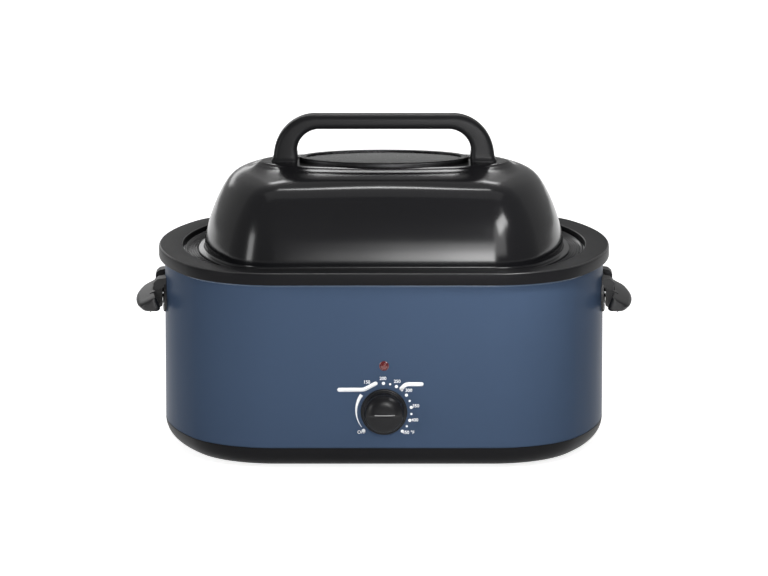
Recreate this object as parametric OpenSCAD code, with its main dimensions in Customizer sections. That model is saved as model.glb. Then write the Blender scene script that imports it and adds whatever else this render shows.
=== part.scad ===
// Electric roaster oven: painted steel body on a black base, lift-out roasting
// pan and rack, domed lid with a window, and a front temperature control.
// Origin at the centre of the footprint on the surface the oven stands on;
// +X to the right of the front, the front faces -Y, +Z up.

/* [Body] */
// Width of the painted wall
body_w = 550; // [520:1:580]
// Depth of the painted wall
body_d = 432; // [416:1:450]
// Length of the straight run along the front and the back
front_flat = 266; // [240:1:280]
// Radius of the four body corners seen from above
corner_r = 118; // [105:1:125]
// Height of the painted wall that shows
wall_h = 204; // [190:1:225]
// Sheet thickness of the painted wall
wall_t = 1.2; // [0.8:0.1:2]

/* [Base] */
// Height of the rubber feet under the base
foot_h = 6; // [4:0.5:8]
// Radius of a rubber foot
foot_r = 12; // [9:0.5:16]
// Distance of the feet from the centre along X
foot_x = 183; // [178:1:188]
// Distance of the feet from the centre along Y
foot_y = 142; // [138:1:146]
// Height of the black base skirt
skirt_h = 24; // [24:1:32]
// Radius of the rounded lower edge of the skirt
skirt_edge = 24; // [18:1:24]
// Wall thickness of the skirt
skirt_t = 2.4; // [2:0.1:3]
// Height of the skirt's upstand inside the painted wall
upstand_h = 9; // [6:1:14]
// Thickness of the bottom plate
plate_t = 1.2; // [1:0.1:2]

/* [Rim] */
// Height of the black rim trim
rim_h = 15; // [13:0.5:18]
// How far the rim stands out past the painted wall
rim_over = 7.5; // [6:0.5:9]
// Width of the flat top of the rim
rim_flat = 30; // [28:0.5:32]
// Thickness of the rim's outer skirt
rim_t = 3.6; // [3:0.1:4.5]
// Depth of the recess inside the rim, down to the well flange
recess = 9; // [8:0.5:10.5]

/* [Heating well] */
// Sheet thickness of the well
well_t = 1.0; // [0.8:0.1:1.5]
// Inset of the well's inner wall at its flange, from the painted wall
well_in = 47; // [45:0.5:49]
// Draft of the well wall from flange to floor
well_draft = 6; // [4:0.5:8]
// Height of the well floor above the standing surface
well_floor = 45; // [42:1:50]
// Bottom edge radius of the well
well_edge = 22; // [18:1:26]
// Width of the heating band around the well
band_h = 46; // [30:1:60]
// Height of the heating band's lower edge
band_z = 84; // [78:1:100]
// Thickness of the heating band
band_t = 3; // [2:0.5:4]
// Thickness of the insulation blanket
blanket_t = 14; // [8:1:16]

/* [Roasting pan] */
// Gap between the well wall and the pan wall
pan_gap = 6; // [5:0.5:8]
// Sheet thickness of the pan
pan_t = 1.2; // [1:0.1:1.6]
// Gap under the pan floor
pan_under = 7; // [6:0.5:10]
// Gap between the pan's rolled edge and the rim
pan_side = 2; // [1:0.5:4]
// Diameter of the pan's rolled edge
pan_bead = 3.6; // [3:0.2:4.4]

/* [Rack] */
// Wire diameter of the rack frame
rack_wire = 5; // [4:0.5:6]
// Wire diameter of the rack's cross wires
cross_wire = 3; // [2.5:0.5:4]
// Spacing of the cross wires
rack_pitch = 15; // [12:1:24]
// Gap under the rack's frame wire
rack_lift_h = 12; // [9:1:16]
// Height of the rack's lifting loops above its frame
loop_h = 70; // [50:1:90]
// Width of a lifting loop
loop_w = 90; // [70:1:110]

/* [Lid] */
// Height of the lid's flat top above its brim
lid_h = 111.6; // [100:0.5:118]
// Sheet thickness of the lid
lid_t = 1.2; // [1:0.1:1.6]
// Inset of the lid's outer wall at its foot, from the painted wall
lid_in = 50; // [49:0.5:52]
// Width of the lid's brim
brim_w = 8; // [6:0.5:9]
// Half width of the raised flat on the lid
crown_w = 157; // [152:1:162]
// Half depth of the raised flat on the lid
crown_d = 63; // [60:1:70]
// Height of the raised flat above the dome around it
crown_h = 3.4; // [2:0.2:5]

/* [Window] */
// Half width of the visible glass
glass_w = 97; // [88:1:98]
// Half depth of the visible glass
glass_d = 46; // [40:1:48]
// Thickness of the glass
glass_t = 2.8; // [2:0.2:4]
// Thickness of the gasket under the glass
gasket_t = 0.6; // [0.4:0.1:1]
// How far the glass runs under its bezel
glass_lap = 3.4; // [2.5:0.1:4.5]
// Width of the bezel on top
bezel_w = 9; // [7:0.5:10]

/* [Lid handle] */
// Height of the handle's top above the lid
grip_rise = 59; // [54:0.5:70]
// Distance from the centre to the middle of a leg
leg_x = 123; // [122:0.5:128]
// Width of a leg seen from the front
leg_w = 30; // [26:0.5:31]
// Height of the grip bar's section
bar_h = 18.4; // [16:0.2:22]
// Depth of the grip bar, front to back
bar_d = 27; // [22:1:32]
// Bend radius of the handle's middle line
bend_r = 40; // [32:1:44]

/* [Side handles] */
// How far the handles reach past the painted wall
handle_reach = 36.5; // [34:0.5:40]
// Length of the handle, front to back
handle_l = 148; // [132:1:152]
// Width of the handle's gripping bar
handle_bar = 21.5; // [18:0.5:22.5]
// Height of the handle, from its top edge at the wall to its underside
handle_h = 27; // [24:0.5:30]
// Downward tilt of the handle in degrees
handle_tilt = 27; // [22:1:32]
// Height of the handle's top edge at the wall
handle_z = 200; // [192:1:204]
// Thickness of the handle plate on the wall
bracket_t = 3; // [2.5:0.5:4]
// Height of the handle plate with its hoods
bracket_h = 43; // [40:1:46]
// Length of the handle plate, front to back
bracket_l = 94; // [90:1:98]
// Distance of a handle arm from the middle of the handle
arm_y = 33; // [30:1:35]
// Width of a handle arm
arm_w = 14; // [12:1:16]

/* [Control] */
// Height of the control's centre
dial_z = 76; // [72:1:82]
// Radius of the knob's base
knob_r = 28.5; // [25:0.5:31]
// Radius of the knob's body
knob_body_r = 23.5; // [20:0.5:25]
// Depth of the knob from the wall to its front
knob_depth = 26; // [22:0.5:30]
// Gap between the knob and the wall
knob_gap = 0.8; // [0.5:0.1:1.5]
// Radius of the control's spindle
spindle_r = 3; // [2.5:0.25:3.5]
// Height of the indicator light
lamp_z = 133; // [125:1:140]
// Radius of the indicator lens
lamp_r = 6; // [5:0.25:7]

/* [Cord inlet] */
// Distance of the cord inlet from the centre along X
inlet_x = 110; // [90:1:125]
// Height of the cord inlet
inlet_z = 62; // [56:1:70]
// Radius of the cord inlet's bore
inlet_bore = 4.2; // [3.5:0.1:4.6]
// How far the cord inlet stands out at the back
inlet_out = 22; // [18:1:26]

/* [Hidden] */
$fn = 48;

fit = 0.15;                                   // gap around a screw or a bush in its hole
join = 1;                                     // overlap of shapes that make up one piece
screw_r = 2;                                  // M4 screws
head_r = 3.9;
head_h = 2.2;

// Heights from the standing surface upwards
wall_z = foot_h + skirt_h;
wall_top = wall_z + wall_h;
rim_top = wall_top + rim_h;
flange_top = rim_top - recess;                // upper face of the well flange
flange_z = flange_top - well_t;
pan_flange_top = flange_top + pan_t;
pan_floor = well_floor + pan_under;
lid_z = pan_flange_top;                       // the lid's brim rests on the pan flange
lid_top = lid_z + lid_h;
front_y = -body_d / 2;

// Plan outline: straight front and back, round corners and bowed ends, all tangent
end_run = body_w / 2 - front_flat / 2;
side_run = body_d / 2 - corner_r;
end_r = (pow(end_run, 2) + pow(side_run, 2) - pow(corner_r, 2)) / (2 * (end_run - corner_r));
end_x = end_r - body_w / 2;
split = atan2(side_run, front_flat / 2 + end_x);
end_steps = 6;
corner_steps = 9;

// A station of the outline is the centre, radius and direction of one point
function arc_stations(cx, cy, r, from, to, steps, first, last) =
    [for (k = [first:last]) [cx, cy, r, from + (to - from) * k / steps]];
function flat_stations(sign_y, steps) =
    [for (k = [1:steps])
        [sign_y * (front_flat / 2 - front_flat * k / steps), sign_y * side_run, corner_r, sign_y * 90]];
function stations(flat_steps) = concat(
    arc_stations(-end_x, 0, end_r, -split, split, end_steps, 0, end_steps),
    arc_stations(front_flat / 2, side_run, corner_r, split, 90, corner_steps, 1, corner_steps),
    flat_stations(1, flat_steps),
    arc_stations(-front_flat / 2, side_run, corner_r, 90, 180 - split, corner_steps, 1, corner_steps - 1),
    arc_stations(end_x, 0, end_r, 180 - split, 180 + split, end_steps, 0, end_steps),
    arc_stations(-front_flat / 2, -side_run, corner_r, 180 + split, 270, corner_steps, 1, corner_steps),
    flat_stations(-1, flat_steps),
    arc_stations(front_flat / 2, -side_run, corner_r, 270, 360 - split, corner_steps, 1, corner_steps - 1));
function outline(inset, flat_steps = 1) =
    [for (s = stations(flat_steps)) [s[0] + (s[2] - inset) * cos(s[3]), s[1] + (s[2] - inset) * sin(s[3])]];
function at_height(points, z) = [for (p = points) [p[0], p[1], z]];
function ring(inset, z) = at_height(outline(inset), z);
function arc(cx, cy, r, from, to, steps) =
    [for (k = [0:steps]) let (a = from + (to - from) * k / steps) [cx + r * cos(a), cy + r * sin(a)]];
function reversed(list) = [for (k = [len(list) - 1:-1:0]) list[k]];

// Solid between rings of equal count; looped joins the last ring to the first
module skin(rings, looped = false) {
    count = len(rings[0]);
    levels = len(rings);
    quads = [for (i = [0:levels - (looped ? 1 : 2)]) for (j = [0:count - 1])
        let (up = (i + 1) % levels, next = (j + 1) % count)
        [i * count + j, up * count + j, up * count + next, i * count + next]];
    sides = [for (q = quads) each [[q[0], q[1], q[2]], [q[0], q[2], q[3]]]];
    caps = looped ? [] : [
        [for (j = [0:count - 1]) j],
        [for (j = [count - 1:-1:0]) (levels - 1) * count + j]];
    polyhedron([for (r = rings) each r], concat(sides, caps));
}

// Solid that follows the outline, from a profile of [inset, height] points
module around(profile, looped = false) {
    skin([for (p = profile) ring(p[0], p[1])], looped);
}

// Straight wall that follows the outline between two insets
module wall_band(outer, inner, z, h) {
    translate([0, 0, z])
        linear_extrude(h)
            difference() {
                polygon(outline(outer));
                polygon(outline(inner));
            }
}

module filled_outline(inset, z, h) {
    translate([0, 0, z])
        linear_extrude(h)
            polygon(outline(inset));
}

// Squarish section of a moulded bar
function squircle(steps, power = 0.6) = [for (k = [0:steps - 1]) let (a = 360 * k / steps)
    [sign(cos(a)) * pow(abs(cos(a)), power), sign(sin(a)) * pow(abs(sin(a)), power)]];

// Bar along a flat path; a stop is [u, w, heading, half width, half depth]
module flat_sweep(stops, steps = 16, power = 0.6) {
    section = squircle(steps, power);
    skin([for (s = stops) [for (p = section)
        [s[0] + p[0] * s[3] * sin(s[2]), p[1] * s[4], s[1] - p[0] * s[3] * cos(s[2])]]]);
}

// Round wire along a path of points
function unit(v) = v / norm(v);
function along(path, k) = unit(path[min(k + 1, len(path) - 1)] - path[max(k - 1, 0)]);
module wire(path, r, sides = 8) {
    skin([for (k = [0:len(path) - 1])
        let (t = along(path, k), ref = abs(t[2]) > 0.9 ? [1, 0, 0] : [0, 0, 1],
             s = unit(cross(ref, t)), u = cross(t, s))
        [for (j = [0:sides - 1]) path[k] + r * (cos(360 * j / sides) * s + sin(360 * j / sides) * u)]]);
}

module corners_of(x, y) {
    for (sx = [-1, 1])
        for (sy = [-1, 1])
            translate([sx * x, sy * y, 0])
                children();
}

// ---- Base ----
skirt_floor_in = skirt_edge + 44;
plate_in = skirt_edge + 6;
plate_screw_x = 205;
plate_screw_y = 95;

function skirt_profile() = concat(
    [[skirt_floor_in, foot_h]],
    [for (p = arc(skirt_edge, foot_h + skirt_edge, skirt_edge, 270, 180, 6)) p],
    [[0, wall_z], [wall_t, wall_z], [wall_t, wall_z + upstand_h], [wall_t + skirt_t, wall_z + upstand_h],
     [wall_t + skirt_t, wall_z]],
    [for (p = arc(skirt_edge, foot_h + skirt_edge, skirt_edge - skirt_t, 180, 270, 5)) p],
    [[skirt_floor_in, foot_h + skirt_t]]);

// Moulded base skirt with its rounded lower edge
module base_skirt() {
    color("#17181a")
        difference() {
            around(skirt_profile(), true);
            corners_of(foot_x, foot_y)
                translate([0, 0, foot_h - join])
                    cylinder(r = screw_r + fit, h = skirt_t + 2 * join);
            corners_of(plate_screw_x, plate_screw_y)
                translate([0, 0, foot_h - join])
                    cylinder(r = screw_r + fit, h = skirt_t + 2 * join);
        }
}

plate_bottom = foot_h + skirt_t;
plate_top = plate_bottom + plate_t;
vent_count = 9;
vent_pitch = 14;

// Steel plate that closes the bottom, with cooling slots
module bottom_plate() {
    color("#8d9094")
        difference() {
            filled_outline(plate_in, plate_bottom, plate_t);
            corners_of(plate_screw_x, plate_screw_y)
                translate([0, 0, plate_bottom - join])
                    cylinder(r = screw_r + fit, h = plate_t + 2 * join);
            corners_of(foot_x, foot_y)
                translate([0, 0, plate_bottom - join])
                    cylinder(r = screw_r + fit, h = plate_t + 2 * join);
            corners_of(post_x, post_y)
                translate([0, 0, plate_bottom - join])
                    cylinder(r = post_pin_r + fit, h = plate_t + 2 * join);
            for (k = [0:vent_count - 1])
                translate([(k - (vent_count - 1) / 2) * vent_pitch - 2, -30, plate_bottom - join])
                    cube([4, 60, plate_t + 2 * join]);
        }
}

module pan_head_screw(length) {
    translate([0, 0, -head_h / 2])
        cylinder(r = screw_r, h = length + head_h / 2);
    translate([0, 0, -head_h])
        cylinder(r = head_r, h = head_h);
}

// Screws that hold the bottom plate to the skirt, driven from above
module bottom_screws() {
    color("#b9bcc0")
        corners_of(plate_screw_x, plate_screw_y)
            translate([0, 0, plate_top])
                rotate([180, 0, 0])
                    pan_head_screw(plate_t + skirt_t - 0.4);
}

// Four rubber feet with a recess for their screws
module rubber_feet() {
    color("#101010")
        corners_of(foot_x, foot_y)
            difference() {
                cylinder(r1 = foot_r - 1.5, r2 = foot_r, h = foot_h);
                translate([0, 0, -join])
                    cylinder(r = screw_r + fit, h = foot_h + 2 * join);
                translate([0, 0, -join])
                    cylinder(r = head_r + 1, h = join + foot_h - 2);
            }
}

// Screws up through the feet into the bottom plate
module foot_screws() {
    color("#b9bcc0")
        corners_of(foot_x, foot_y)
            translate([0, 0, foot_h - 2])
                pan_head_screw(2 + skirt_t + plate_t + 3);
}

// ---- Painted wall ----
bush_r = 5;
holder_r = 4.4;
gland_r = 7.5;
side_turn = split / end_steps;                 // direction of the flat run on each side of the middle
function side_wall_x(y) = body_w / 2 - abs(y) * tan(side_turn);

// One half of the wall, -1 the front and 1 the rear: the seams lie behind the handle plates
module half_wrap(half) {
    difference() {
        intersection() {
            wall_band(0, wall_t, wall_z, flange_z - wall_z);
            translate([-body_w, half < 0 ? -body_d : 0, 0])
                cube([2 * body_w, body_d, rim_top]);
        }
        for (side = [-1, 1])
            translate([side * (body_w / 2 - 30), half * arm_y, grip_screw_z])
                rotate([0, side * 90, 0])
                    cylinder(r = screw_r + fit, h = 60);
        rivet_holes();
    }
}

module front_wrap() {
    color("#46586f")
        difference() {
            half_wrap(-1);
            translate([0, front_y + wall_t + join, dial_z])
                rotate([90, 0, 0])
                    cylinder(r = bush_r + fit, h = wall_t + 2 * join);
            translate([0, front_y + wall_t + join, lamp_z])
                rotate([90, 0, 0])
                    cylinder(r = holder_r + fit, h = wall_t + 2 * join);
        }
}

module rear_wrap() {
    color("#46586f")
        difference() {
            half_wrap(1);
            translate([inlet_x, -front_y + join, inlet_z])
                rotate([90, 0, 0])
                    cylinder(r = gland_r + fit, h = wall_t + 2 * join);
        }
}

// ---- Rim ----
rim_in = rim_flat - rim_over;
rim_soft = 2.6;
rim_plate = 3.4;
rim_lip_t = 2.4;

function rim_profile() = concat(
    [[-rim_over + 1.2, wall_top], [-rim_over, wall_top + 1.2]],
    [for (p = arc(-rim_over + rim_soft, rim_top - rim_soft, rim_soft, 180, 90, 4)) p],
    [[rim_in - 1, rim_top], [rim_in, rim_top - 1], [rim_in, flange_top], [rim_in - rim_lip_t, flange_top],
     [rim_in - rim_lip_t, rim_top - rim_plate], [rim_t - rim_over, rim_top - rim_plate],
     [rim_t - rim_over, wall_top]]);

// Black rim that caps the wall and the well flange
module rim_trim() {
    color("#1b1c1e")
        around(rim_profile(), true);
}

// ---- Heating well and what surrounds it ----
well_floor_in = well_in + well_draft;
well_slope = well_draft / (flange_top - well_floor);
function well_inset(z) = well_in + (flange_top - z) * well_slope;
well_band_z = well_floor + well_edge;

function well_profile() = concat(
    arc(well_inset(well_band_z) + well_edge, well_floor + well_edge, well_edge + well_t, 270, 180, 6),
    [[well_inset(flange_z - 5) - well_t, flange_z - 5], [well_in - well_t - 3, flange_z], [0, flange_z],
     [0, flange_top],
     [well_in - 3, flange_top], [well_in, flange_top - 3]],
    arc(well_inset(well_band_z) + well_edge, well_floor + well_edge, well_edge, 180, 270, 6));

// Steel well that the pan hangs in, open at the top
module heating_well() {
    color("#9a9da1")
        around(well_profile());
}

function outer_well_inset(z) = well_inset(z) - well_t;

// A ring that lies against the sloping outside of the well
module well_wrap(z, h, from, to) {
    around([[outer_well_inset(z) - to, z], [outer_well_inset(z + h) - to, z + h],
            [outer_well_inset(z + h) - from, z + h], [outer_well_inset(z) - from, z]], true);
}

wrap_touch = 0.1;

// Flat heating element wrapped around the well
module heating_band() {
    color("#b7a58a")
        well_wrap(band_z, band_h, wrap_touch, band_t);
}

bay_w = 120;
blanket_z = band_z - 4;
blanket_top = flange_z - 16;

// Mineral wool blanket around the band, cut away behind the control
module insulation_blanket() {
    color("#d8d2c0")
        difference() {
            well_wrap(blanket_z, blanket_top - blanket_z, band_t + 2 * wrap_touch, band_t + blanket_t);
            translate([-bay_w / 2, front_y, blanket_z - join])
                cube([bay_w, 100, lamp_z + 12 - blanket_z + join]);
        }
}

post_x = 120;
post_y = 75;
post_r = 6;
post_pin_r = 2.5;
shield_z = well_floor - well_t - 14;
shield_t = 0.8;

// Posts between the bottom plate and the well floor
module support_posts() {
    color("#a8abb0")
        corners_of(post_x, post_y) {
            translate([0, 0, plate_top])
                cylinder(r = post_r, h = shield_z - plate_top);
            translate([0, 0, shield_z - 0.01])
                cylinder(r = post_pin_r, h = well_floor - well_t - shield_z + 0.01);
            translate([0, 0, plate_bottom + 0.2])
                cylinder(r = post_pin_r, h = plate_t + join);
        }
}

// Reflector sheet under the well, carried on the shoulders of the posts
module heat_shield() {
    color("#c9ccd0")
        difference() {
            filled_outline(well_floor_in + well_edge, shield_z, shield_t);
            corners_of(post_x, post_y)
                translate([0, 0, shield_z - join])
                    cylinder(r = post_pin_r + fit, h = shield_t + 2 * join);
        }
}

// ---- Roasting pan and rack ----
pan_in = well_in + pan_gap;
pan_edge = well_edge - 2;
pan_slope = well_slope;
function pan_inset(z) = pan_in + (flange_top - z) * pan_slope;
pan_rim_in = rim_in + pan_side;
bead = pan_bead / 2;
floor_round_in = pan_inset(pan_floor + pan_edge) + pan_edge;

function pan_profile() = concat(
    arc(floor_round_in, pan_floor + pan_edge, pan_edge, 270, 180, 6),
    [[pan_inset(flange_top - 4), flange_top - 4], [pan_in - 3, flange_top],
     [pan_rim_in + pan_bead, flange_top]],
    arc(pan_rim_in + bead, flange_top + bead, bead, 270, 60, 5),
    [[pan_rim_in + pan_bead + 1, pan_flange_top], [pan_in - 2, pan_flange_top],
     [pan_in + pan_t, flange_top - 4]],
    arc(floor_round_in, pan_floor + pan_edge, pan_edge - pan_t, 180, 270, 6));

// Lift-out pan with a wide flange and a rolled edge
module roasting_pan() {
    color("#202124")
        around(pan_profile());
}

rack_z = pan_floor + pan_t + rack_lift_h;
rack_in = pan_inset(rack_z) + 10;
cross_z = rack_z + rack_wire;
rack_half_w = body_w / 2 - rack_in;
rack_end_gap = 45;                            // free length at each end, past the last cross wire
cross_count = 2 * floor((rack_half_w - rack_end_gap) / rack_pitch) + 1;
leg_r = rack_wire / 2;
rack_end_r = end_r - rack_in - leg_r;
rack_bow = rack_end_r - sqrt(pow(rack_end_r, 2) - pow(loop_w / 2, 2));
loop_x = rack_half_w - leg_r - rack_bow / 2;  // midway in the bow of the frame's end
rack_rest = 0.3;                              // room under the rack's feet
rack_foot_z = pan_floor + pan_edge + rack_rest
    - sqrt(pow(pan_edge - pan_t, 2) - pow(max(floor_round_in - rack_in, 0), 2));
rack_foot_x = front_flat / 2 - 10;

module post(x, y, z, h, r) {
    translate([x, y, z])
        cylinder(r = r, h = h);
}

// Upright loop at each end that lifts the rack
module rack_loop() {
    for (end = [-1, 1])
        translate([0, end * loop_w / 2, 0])
            cylinder(r = leg_r, h = loop_h);
    translate([0, -loop_w / 2 - leg_r, loop_h])
        rotate([-90, 0, 0])
            cylinder(r = leg_r, h = loop_w + 2 * leg_r);
}

rack_corner_r = corner_r - rack_in;
rack_corner_x = front_flat / 2 + rack_corner_r * cos(split);
// Half length of the cross wire at x, to the middle of the frame wire
function rack_reach(x) = side_run - leg_r
    + sqrt(pow(rack_corner_r, 2) - pow(max(abs(x) - front_flat / 2, 0), 2));
function rack_end_reach(x) = sqrt(pow(rack_end_r + leg_r, 2) - pow(abs(x) + end_x, 2)) - leg_r;

// Chromed rack: flat frame, cross wires, six feet and two lifting loops
module wire_rack() {
    color("#c7cace")
        union() {
            wall_band(rack_in, rack_in + rack_wire, rack_z, rack_wire);
            for (k = [0:cross_count - 1])
                let (x = (k - (cross_count - 1) / 2) * rack_pitch,
                     reach = abs(x) < rack_corner_x ? rack_reach(x) : rack_end_reach(x))
                    translate([x, -reach, cross_z])
                        rotate([-90, 0, 0])
                            cylinder(r = cross_wire / 2, h = 2 * reach, $fn = 16);
            corners_of(rack_foot_x, body_d / 2 - rack_in - leg_r)
                post(0, 0, rack_foot_z, rack_z + leg_r - rack_foot_z, leg_r);
            for (side = [-1, 1])
                translate([side * loop_x, 0, rack_z + rack_wire / 2])
                    rack_loop();
            for (side = [-1, 1])
                post(side * (rack_half_w - leg_r), 0, rack_foot_z, rack_z + leg_r - rack_foot_z, leg_r);
        }
}

// ---- Lid ----
lid_wall_z = lid_z + 5;
shoulder_d = 56;                              // from the wall's foot to the dome's outer edge
dome_inset = lid_in + shoulder_d;
crown_z = lid_top - crown_h;
dome_w = body_w / 2 - dome_inset;
dome_d = body_d / 2 - dome_inset;
hole_w = glass_w - 3;
hole_d = glass_d - 3;
lid_flats = 8;

// Wall and shoulder of the dome as [share of the shoulder's run, share of its rise, share of an ellipse]
lid_curve = [[0.01, 0.10, 0], [0.07, 0.25, 0], [0.145, 0.40, 0], [0.26, 0.57, 0], [0.37, 0.70, 0.02],
    [0.46, 0.79, 0.04], [0.55, 0.86, 0.08], [0.67, 0.922, 0.16], [0.82, 0.968, 0.34], [1, 1, 0.58]];

// Ring of width w and depth d, from the dome's own outline (share 0) to an ellipse (share 1)
function oval_from(points, from_w, from_d, w, d, share, z) = [for (p = points)
    let (t = atan2(p[1] / from_d, p[0] / from_w))
    [(1 - share) * p[0] * w / from_w + share * w * cos(t),
     (1 - share) * p[1] * d / from_d + share * d * sin(t), z]];
function lid_ring(inset, z, share = 0) =
    let (w = body_w / 2 - inset, d = body_d / 2 - inset)
    oval_from(outline(inset, lid_flats), w, d, w, d, share, z);
dome_outline = outline(dome_inset, lid_flats);
function oval(w, d, share, z) = oval_from(dome_outline, dome_w, dome_d, w, d, share, z);

dome_fall = 5;                                // from the foot of the raised flat to the shoulder
crown_share = 0.8;                            // how near the raised flat comes to an ellipse
dome_rise = crown_z - dome_fall - lid_wall_z;
function lid_surface(shift) = concat(
    [for (p = lid_curve)
        lid_ring(lid_in + shift + p[0] * (shoulder_d - shift),
            lid_wall_z + p[1] * (dome_rise - shift), p[2])],
    [oval((crown_w + dome_w) / 2, (crown_d + dome_d) / 2, 0.68, crown_z - dome_fall * 0.4 - shift),
     oval(crown_w + 2, crown_d + 4, crown_share, crown_z - shift),
     oval(crown_w - 1, crown_d, crown_share, lid_top - 0.8 - shift),
     oval(crown_w - 4, crown_d - 3, crown_share, lid_top - shift),
     oval(hole_w, hole_d, 1, lid_top - shift)]);

function lid_rings() = concat(
    [lid_ring(lid_in + lid_t, lid_z), lid_ring(lid_in - brim_w + 1, lid_z),
     lid_ring(lid_in - brim_w, lid_z + 1.4),
     lid_ring(lid_in - brim_w + 1, lid_z + 2.8), lid_ring(lid_in - 1, lid_z + 3)],
    lid_surface(0),
    reversed(lid_surface(lid_t)));

// Domed lid with its brim, raised flat and window opening
module lid_shell() {
    color("#1d1e20")
        difference() {
            skin(lid_rings(), true);
            for (side = [-1, 1])
                for (end = [-1, 1])
                    translate([side * leg_x, end * leg_screw_y, lid_top - lid_t - join])
                        cylinder(r = screw_r + 2 * fit, h = lid_t + 2 * join);
        }
}

function ellipse(w, d, steps = 64) =
    [for (k = [0:steps - 1]) [w * cos(360 * k / steps), d * sin(360 * k / steps)]];

module oval_plate(w, d, z, h) {
    translate([0, 0, z])
        linear_extrude(h)
            polygon(ellipse(w, d));
}

glass_z = lid_top + gasket_t;
glass_top = glass_z + glass_t;
bezel_lip = 1.8;

// Heat-proof gasket under the glass
module window_gasket() {
    color("#2a2a2a")
        difference() {
            oval_plate(glass_w + glass_lap, glass_d + glass_lap, lid_top, gasket_t);
            oval_plate(hole_w, hole_d, lid_top - join, gasket_t + 2 * join);
        }
}

// Tempered glass window
module window_glass() {
    color("#9fa8a2", 0.4)
        oval_plate(glass_w + glass_lap, glass_d + glass_lap, glass_z, glass_t);
}

// Steel bezel that traps the glass
module window_bezel() {
    color("#8b8d90")
        difference() {
            union() {
                oval_plate(glass_w + bezel_w, glass_d + bezel_w, lid_top, gasket_t + glass_t);
                oval_plate(glass_w + bezel_w - 1.5, glass_d + bezel_w - 1.5, glass_top - 0.01, bezel_lip);
            }
            oval_plate(glass_w + glass_lap + fit, glass_d + glass_lap + fit,
                lid_top - join, join + gasket_t + glass_t);
            oval_plate(glass_w, glass_d, lid_top, gasket_t + glass_t + bezel_lip + join);
        }
}

leg_screw_y = 8;
leg_screw_depth = 14;
foot_flare = 3;
handle_top = lid_top + grip_rise;
bar_z = handle_top - bar_h / 2;
bend_x = leg_x - bend_r;
bend_z = bar_z - bend_r;
bend_steps = 8;

function handle_half() = concat(
    [[-leg_x - foot_flare / 2, lid_top, 90, leg_w / 2 + foot_flare / 2, bar_d / 2 + 3],
     [-leg_x - foot_flare / 2, lid_top + 1.6, 90, leg_w / 2 + foot_flare / 2, bar_d / 2 + 3],
     [-leg_x - 0.4, lid_top + 5, 90, leg_w / 2 + 0.4, bar_d / 2 + 1.4]],
    [for (k = [0:bend_steps]) let (share = k / bend_steps, a = 180 - 90 * share)
        [-bend_x + bend_r * cos(a), bend_z + bend_r * sin(a), a - 90,
         leg_w / 2 + (bar_h - leg_w) / 2 * pow(share, 0.8), bar_d / 2 + 1 - share]]);

// Bridge handle on the lid, fixed from inside by two screws in each leg
module lid_handle() {
    half = handle_half();
    mirrored = [for (s = reversed(half)) [-s[0], s[1], -s[2], s[3], s[4]]];
    color("#1c1d1f")
        difference() {
            flat_sweep(concat(half, mirrored));
            for (side = [-1, 1])
                for (end = [-1, 1])
                    translate([side * leg_x, end * leg_screw_y, lid_top - join])
                        cylinder(r = screw_r + fit, h = leg_screw_depth + join);
        }
}

// Screws from inside the lid into the handle's legs
module lid_handle_screws() {
    color("#b9bcc0")
        for (side = [-1, 1])
            for (end = [-1, 1])
                translate([side * leg_x, end * leg_screw_y, lid_top - lid_t])
                    pan_head_screw(lid_t + leg_screw_depth - 2);
}

// ---- Side handles ----
hood_in = 15;                                 // a hood starts this far inside the wall, then is cut to it
arm_in = 12;                                  // the same for the handle's arms
cut_below = 60;                               // reach of the cutting shapes below and above the handle
cut_h = 100;
screw_cut_in = 30;                            // how far a screw hole starts inside the wall's middle
hood_l = 24;
arm_h = 13.4;
grip_screw_out = 8;                            // depth of the screws past the painted wall's middle
hood_t = 7;
hood_reach = 13;
hood_drop = 6;
lip_t = 2;
hood_top = handle_z + 11;
bracket_z = hood_top - bracket_h;
function handle_top_z(out) = handle_z - out * tan(handle_tilt);
lip_z = handle_top_z(hood_reach - lip_t - 0.4) + 0.4;
grip_screw_z = handle_z - arm_h / 2 - 2.3;

module bracket_plate(z, h) {
    intersection() {
        wall_band(-bracket_t, 0, z, h);
        translate([0, -bracket_l / 2, z - join])
            cube([body_w, bracket_l, h + 2 * join]);
    }
}

// Hood over one arm of the handle, with a lip that turns down to the arm
module hood(from) {
    difference() {
        translate([0, from + hood_l, 0])
            rotate([90, 0, 0])
                linear_extrude(hood_l)
                    polygon([
                        [body_w / 2 - hood_in, hood_top - hood_t], [body_w / 2 - hood_in, hood_top],
                        [body_w / 2 + hood_reach - 5, hood_top - 1.5],
                        [body_w / 2 + hood_reach, hood_top - hood_drop],
                        [body_w / 2 + hood_reach, lip_z], [body_w / 2 + hood_reach - lip_t, lip_z],
                        [body_w / 2 + hood_reach - lip_t - 0.4, hood_top - hood_t]]);
        filled_outline(0, handle_z - cut_below, cut_h);
    }
}

module bracket() {
    color("#1c1d1f")
        difference() {
            union() {
                bracket_plate(bracket_z, bracket_h - hood_t + join);
                hood(arm_y - hood_l / 2);
                hood(-arm_y - hood_l / 2);
            }
            for (end = [-1, 1])
                translate([body_w / 2 - screw_cut_in, end * arm_y, grip_screw_z])
                    rotate([0, 90, 0])
                        cylinder(r = screw_r + fit, h = 2 * screw_cut_in);
            rivet_holes();
        }
}

grip_in = handle_reach - handle_bar;
grip_low = handle_z - handle_h;

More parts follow.
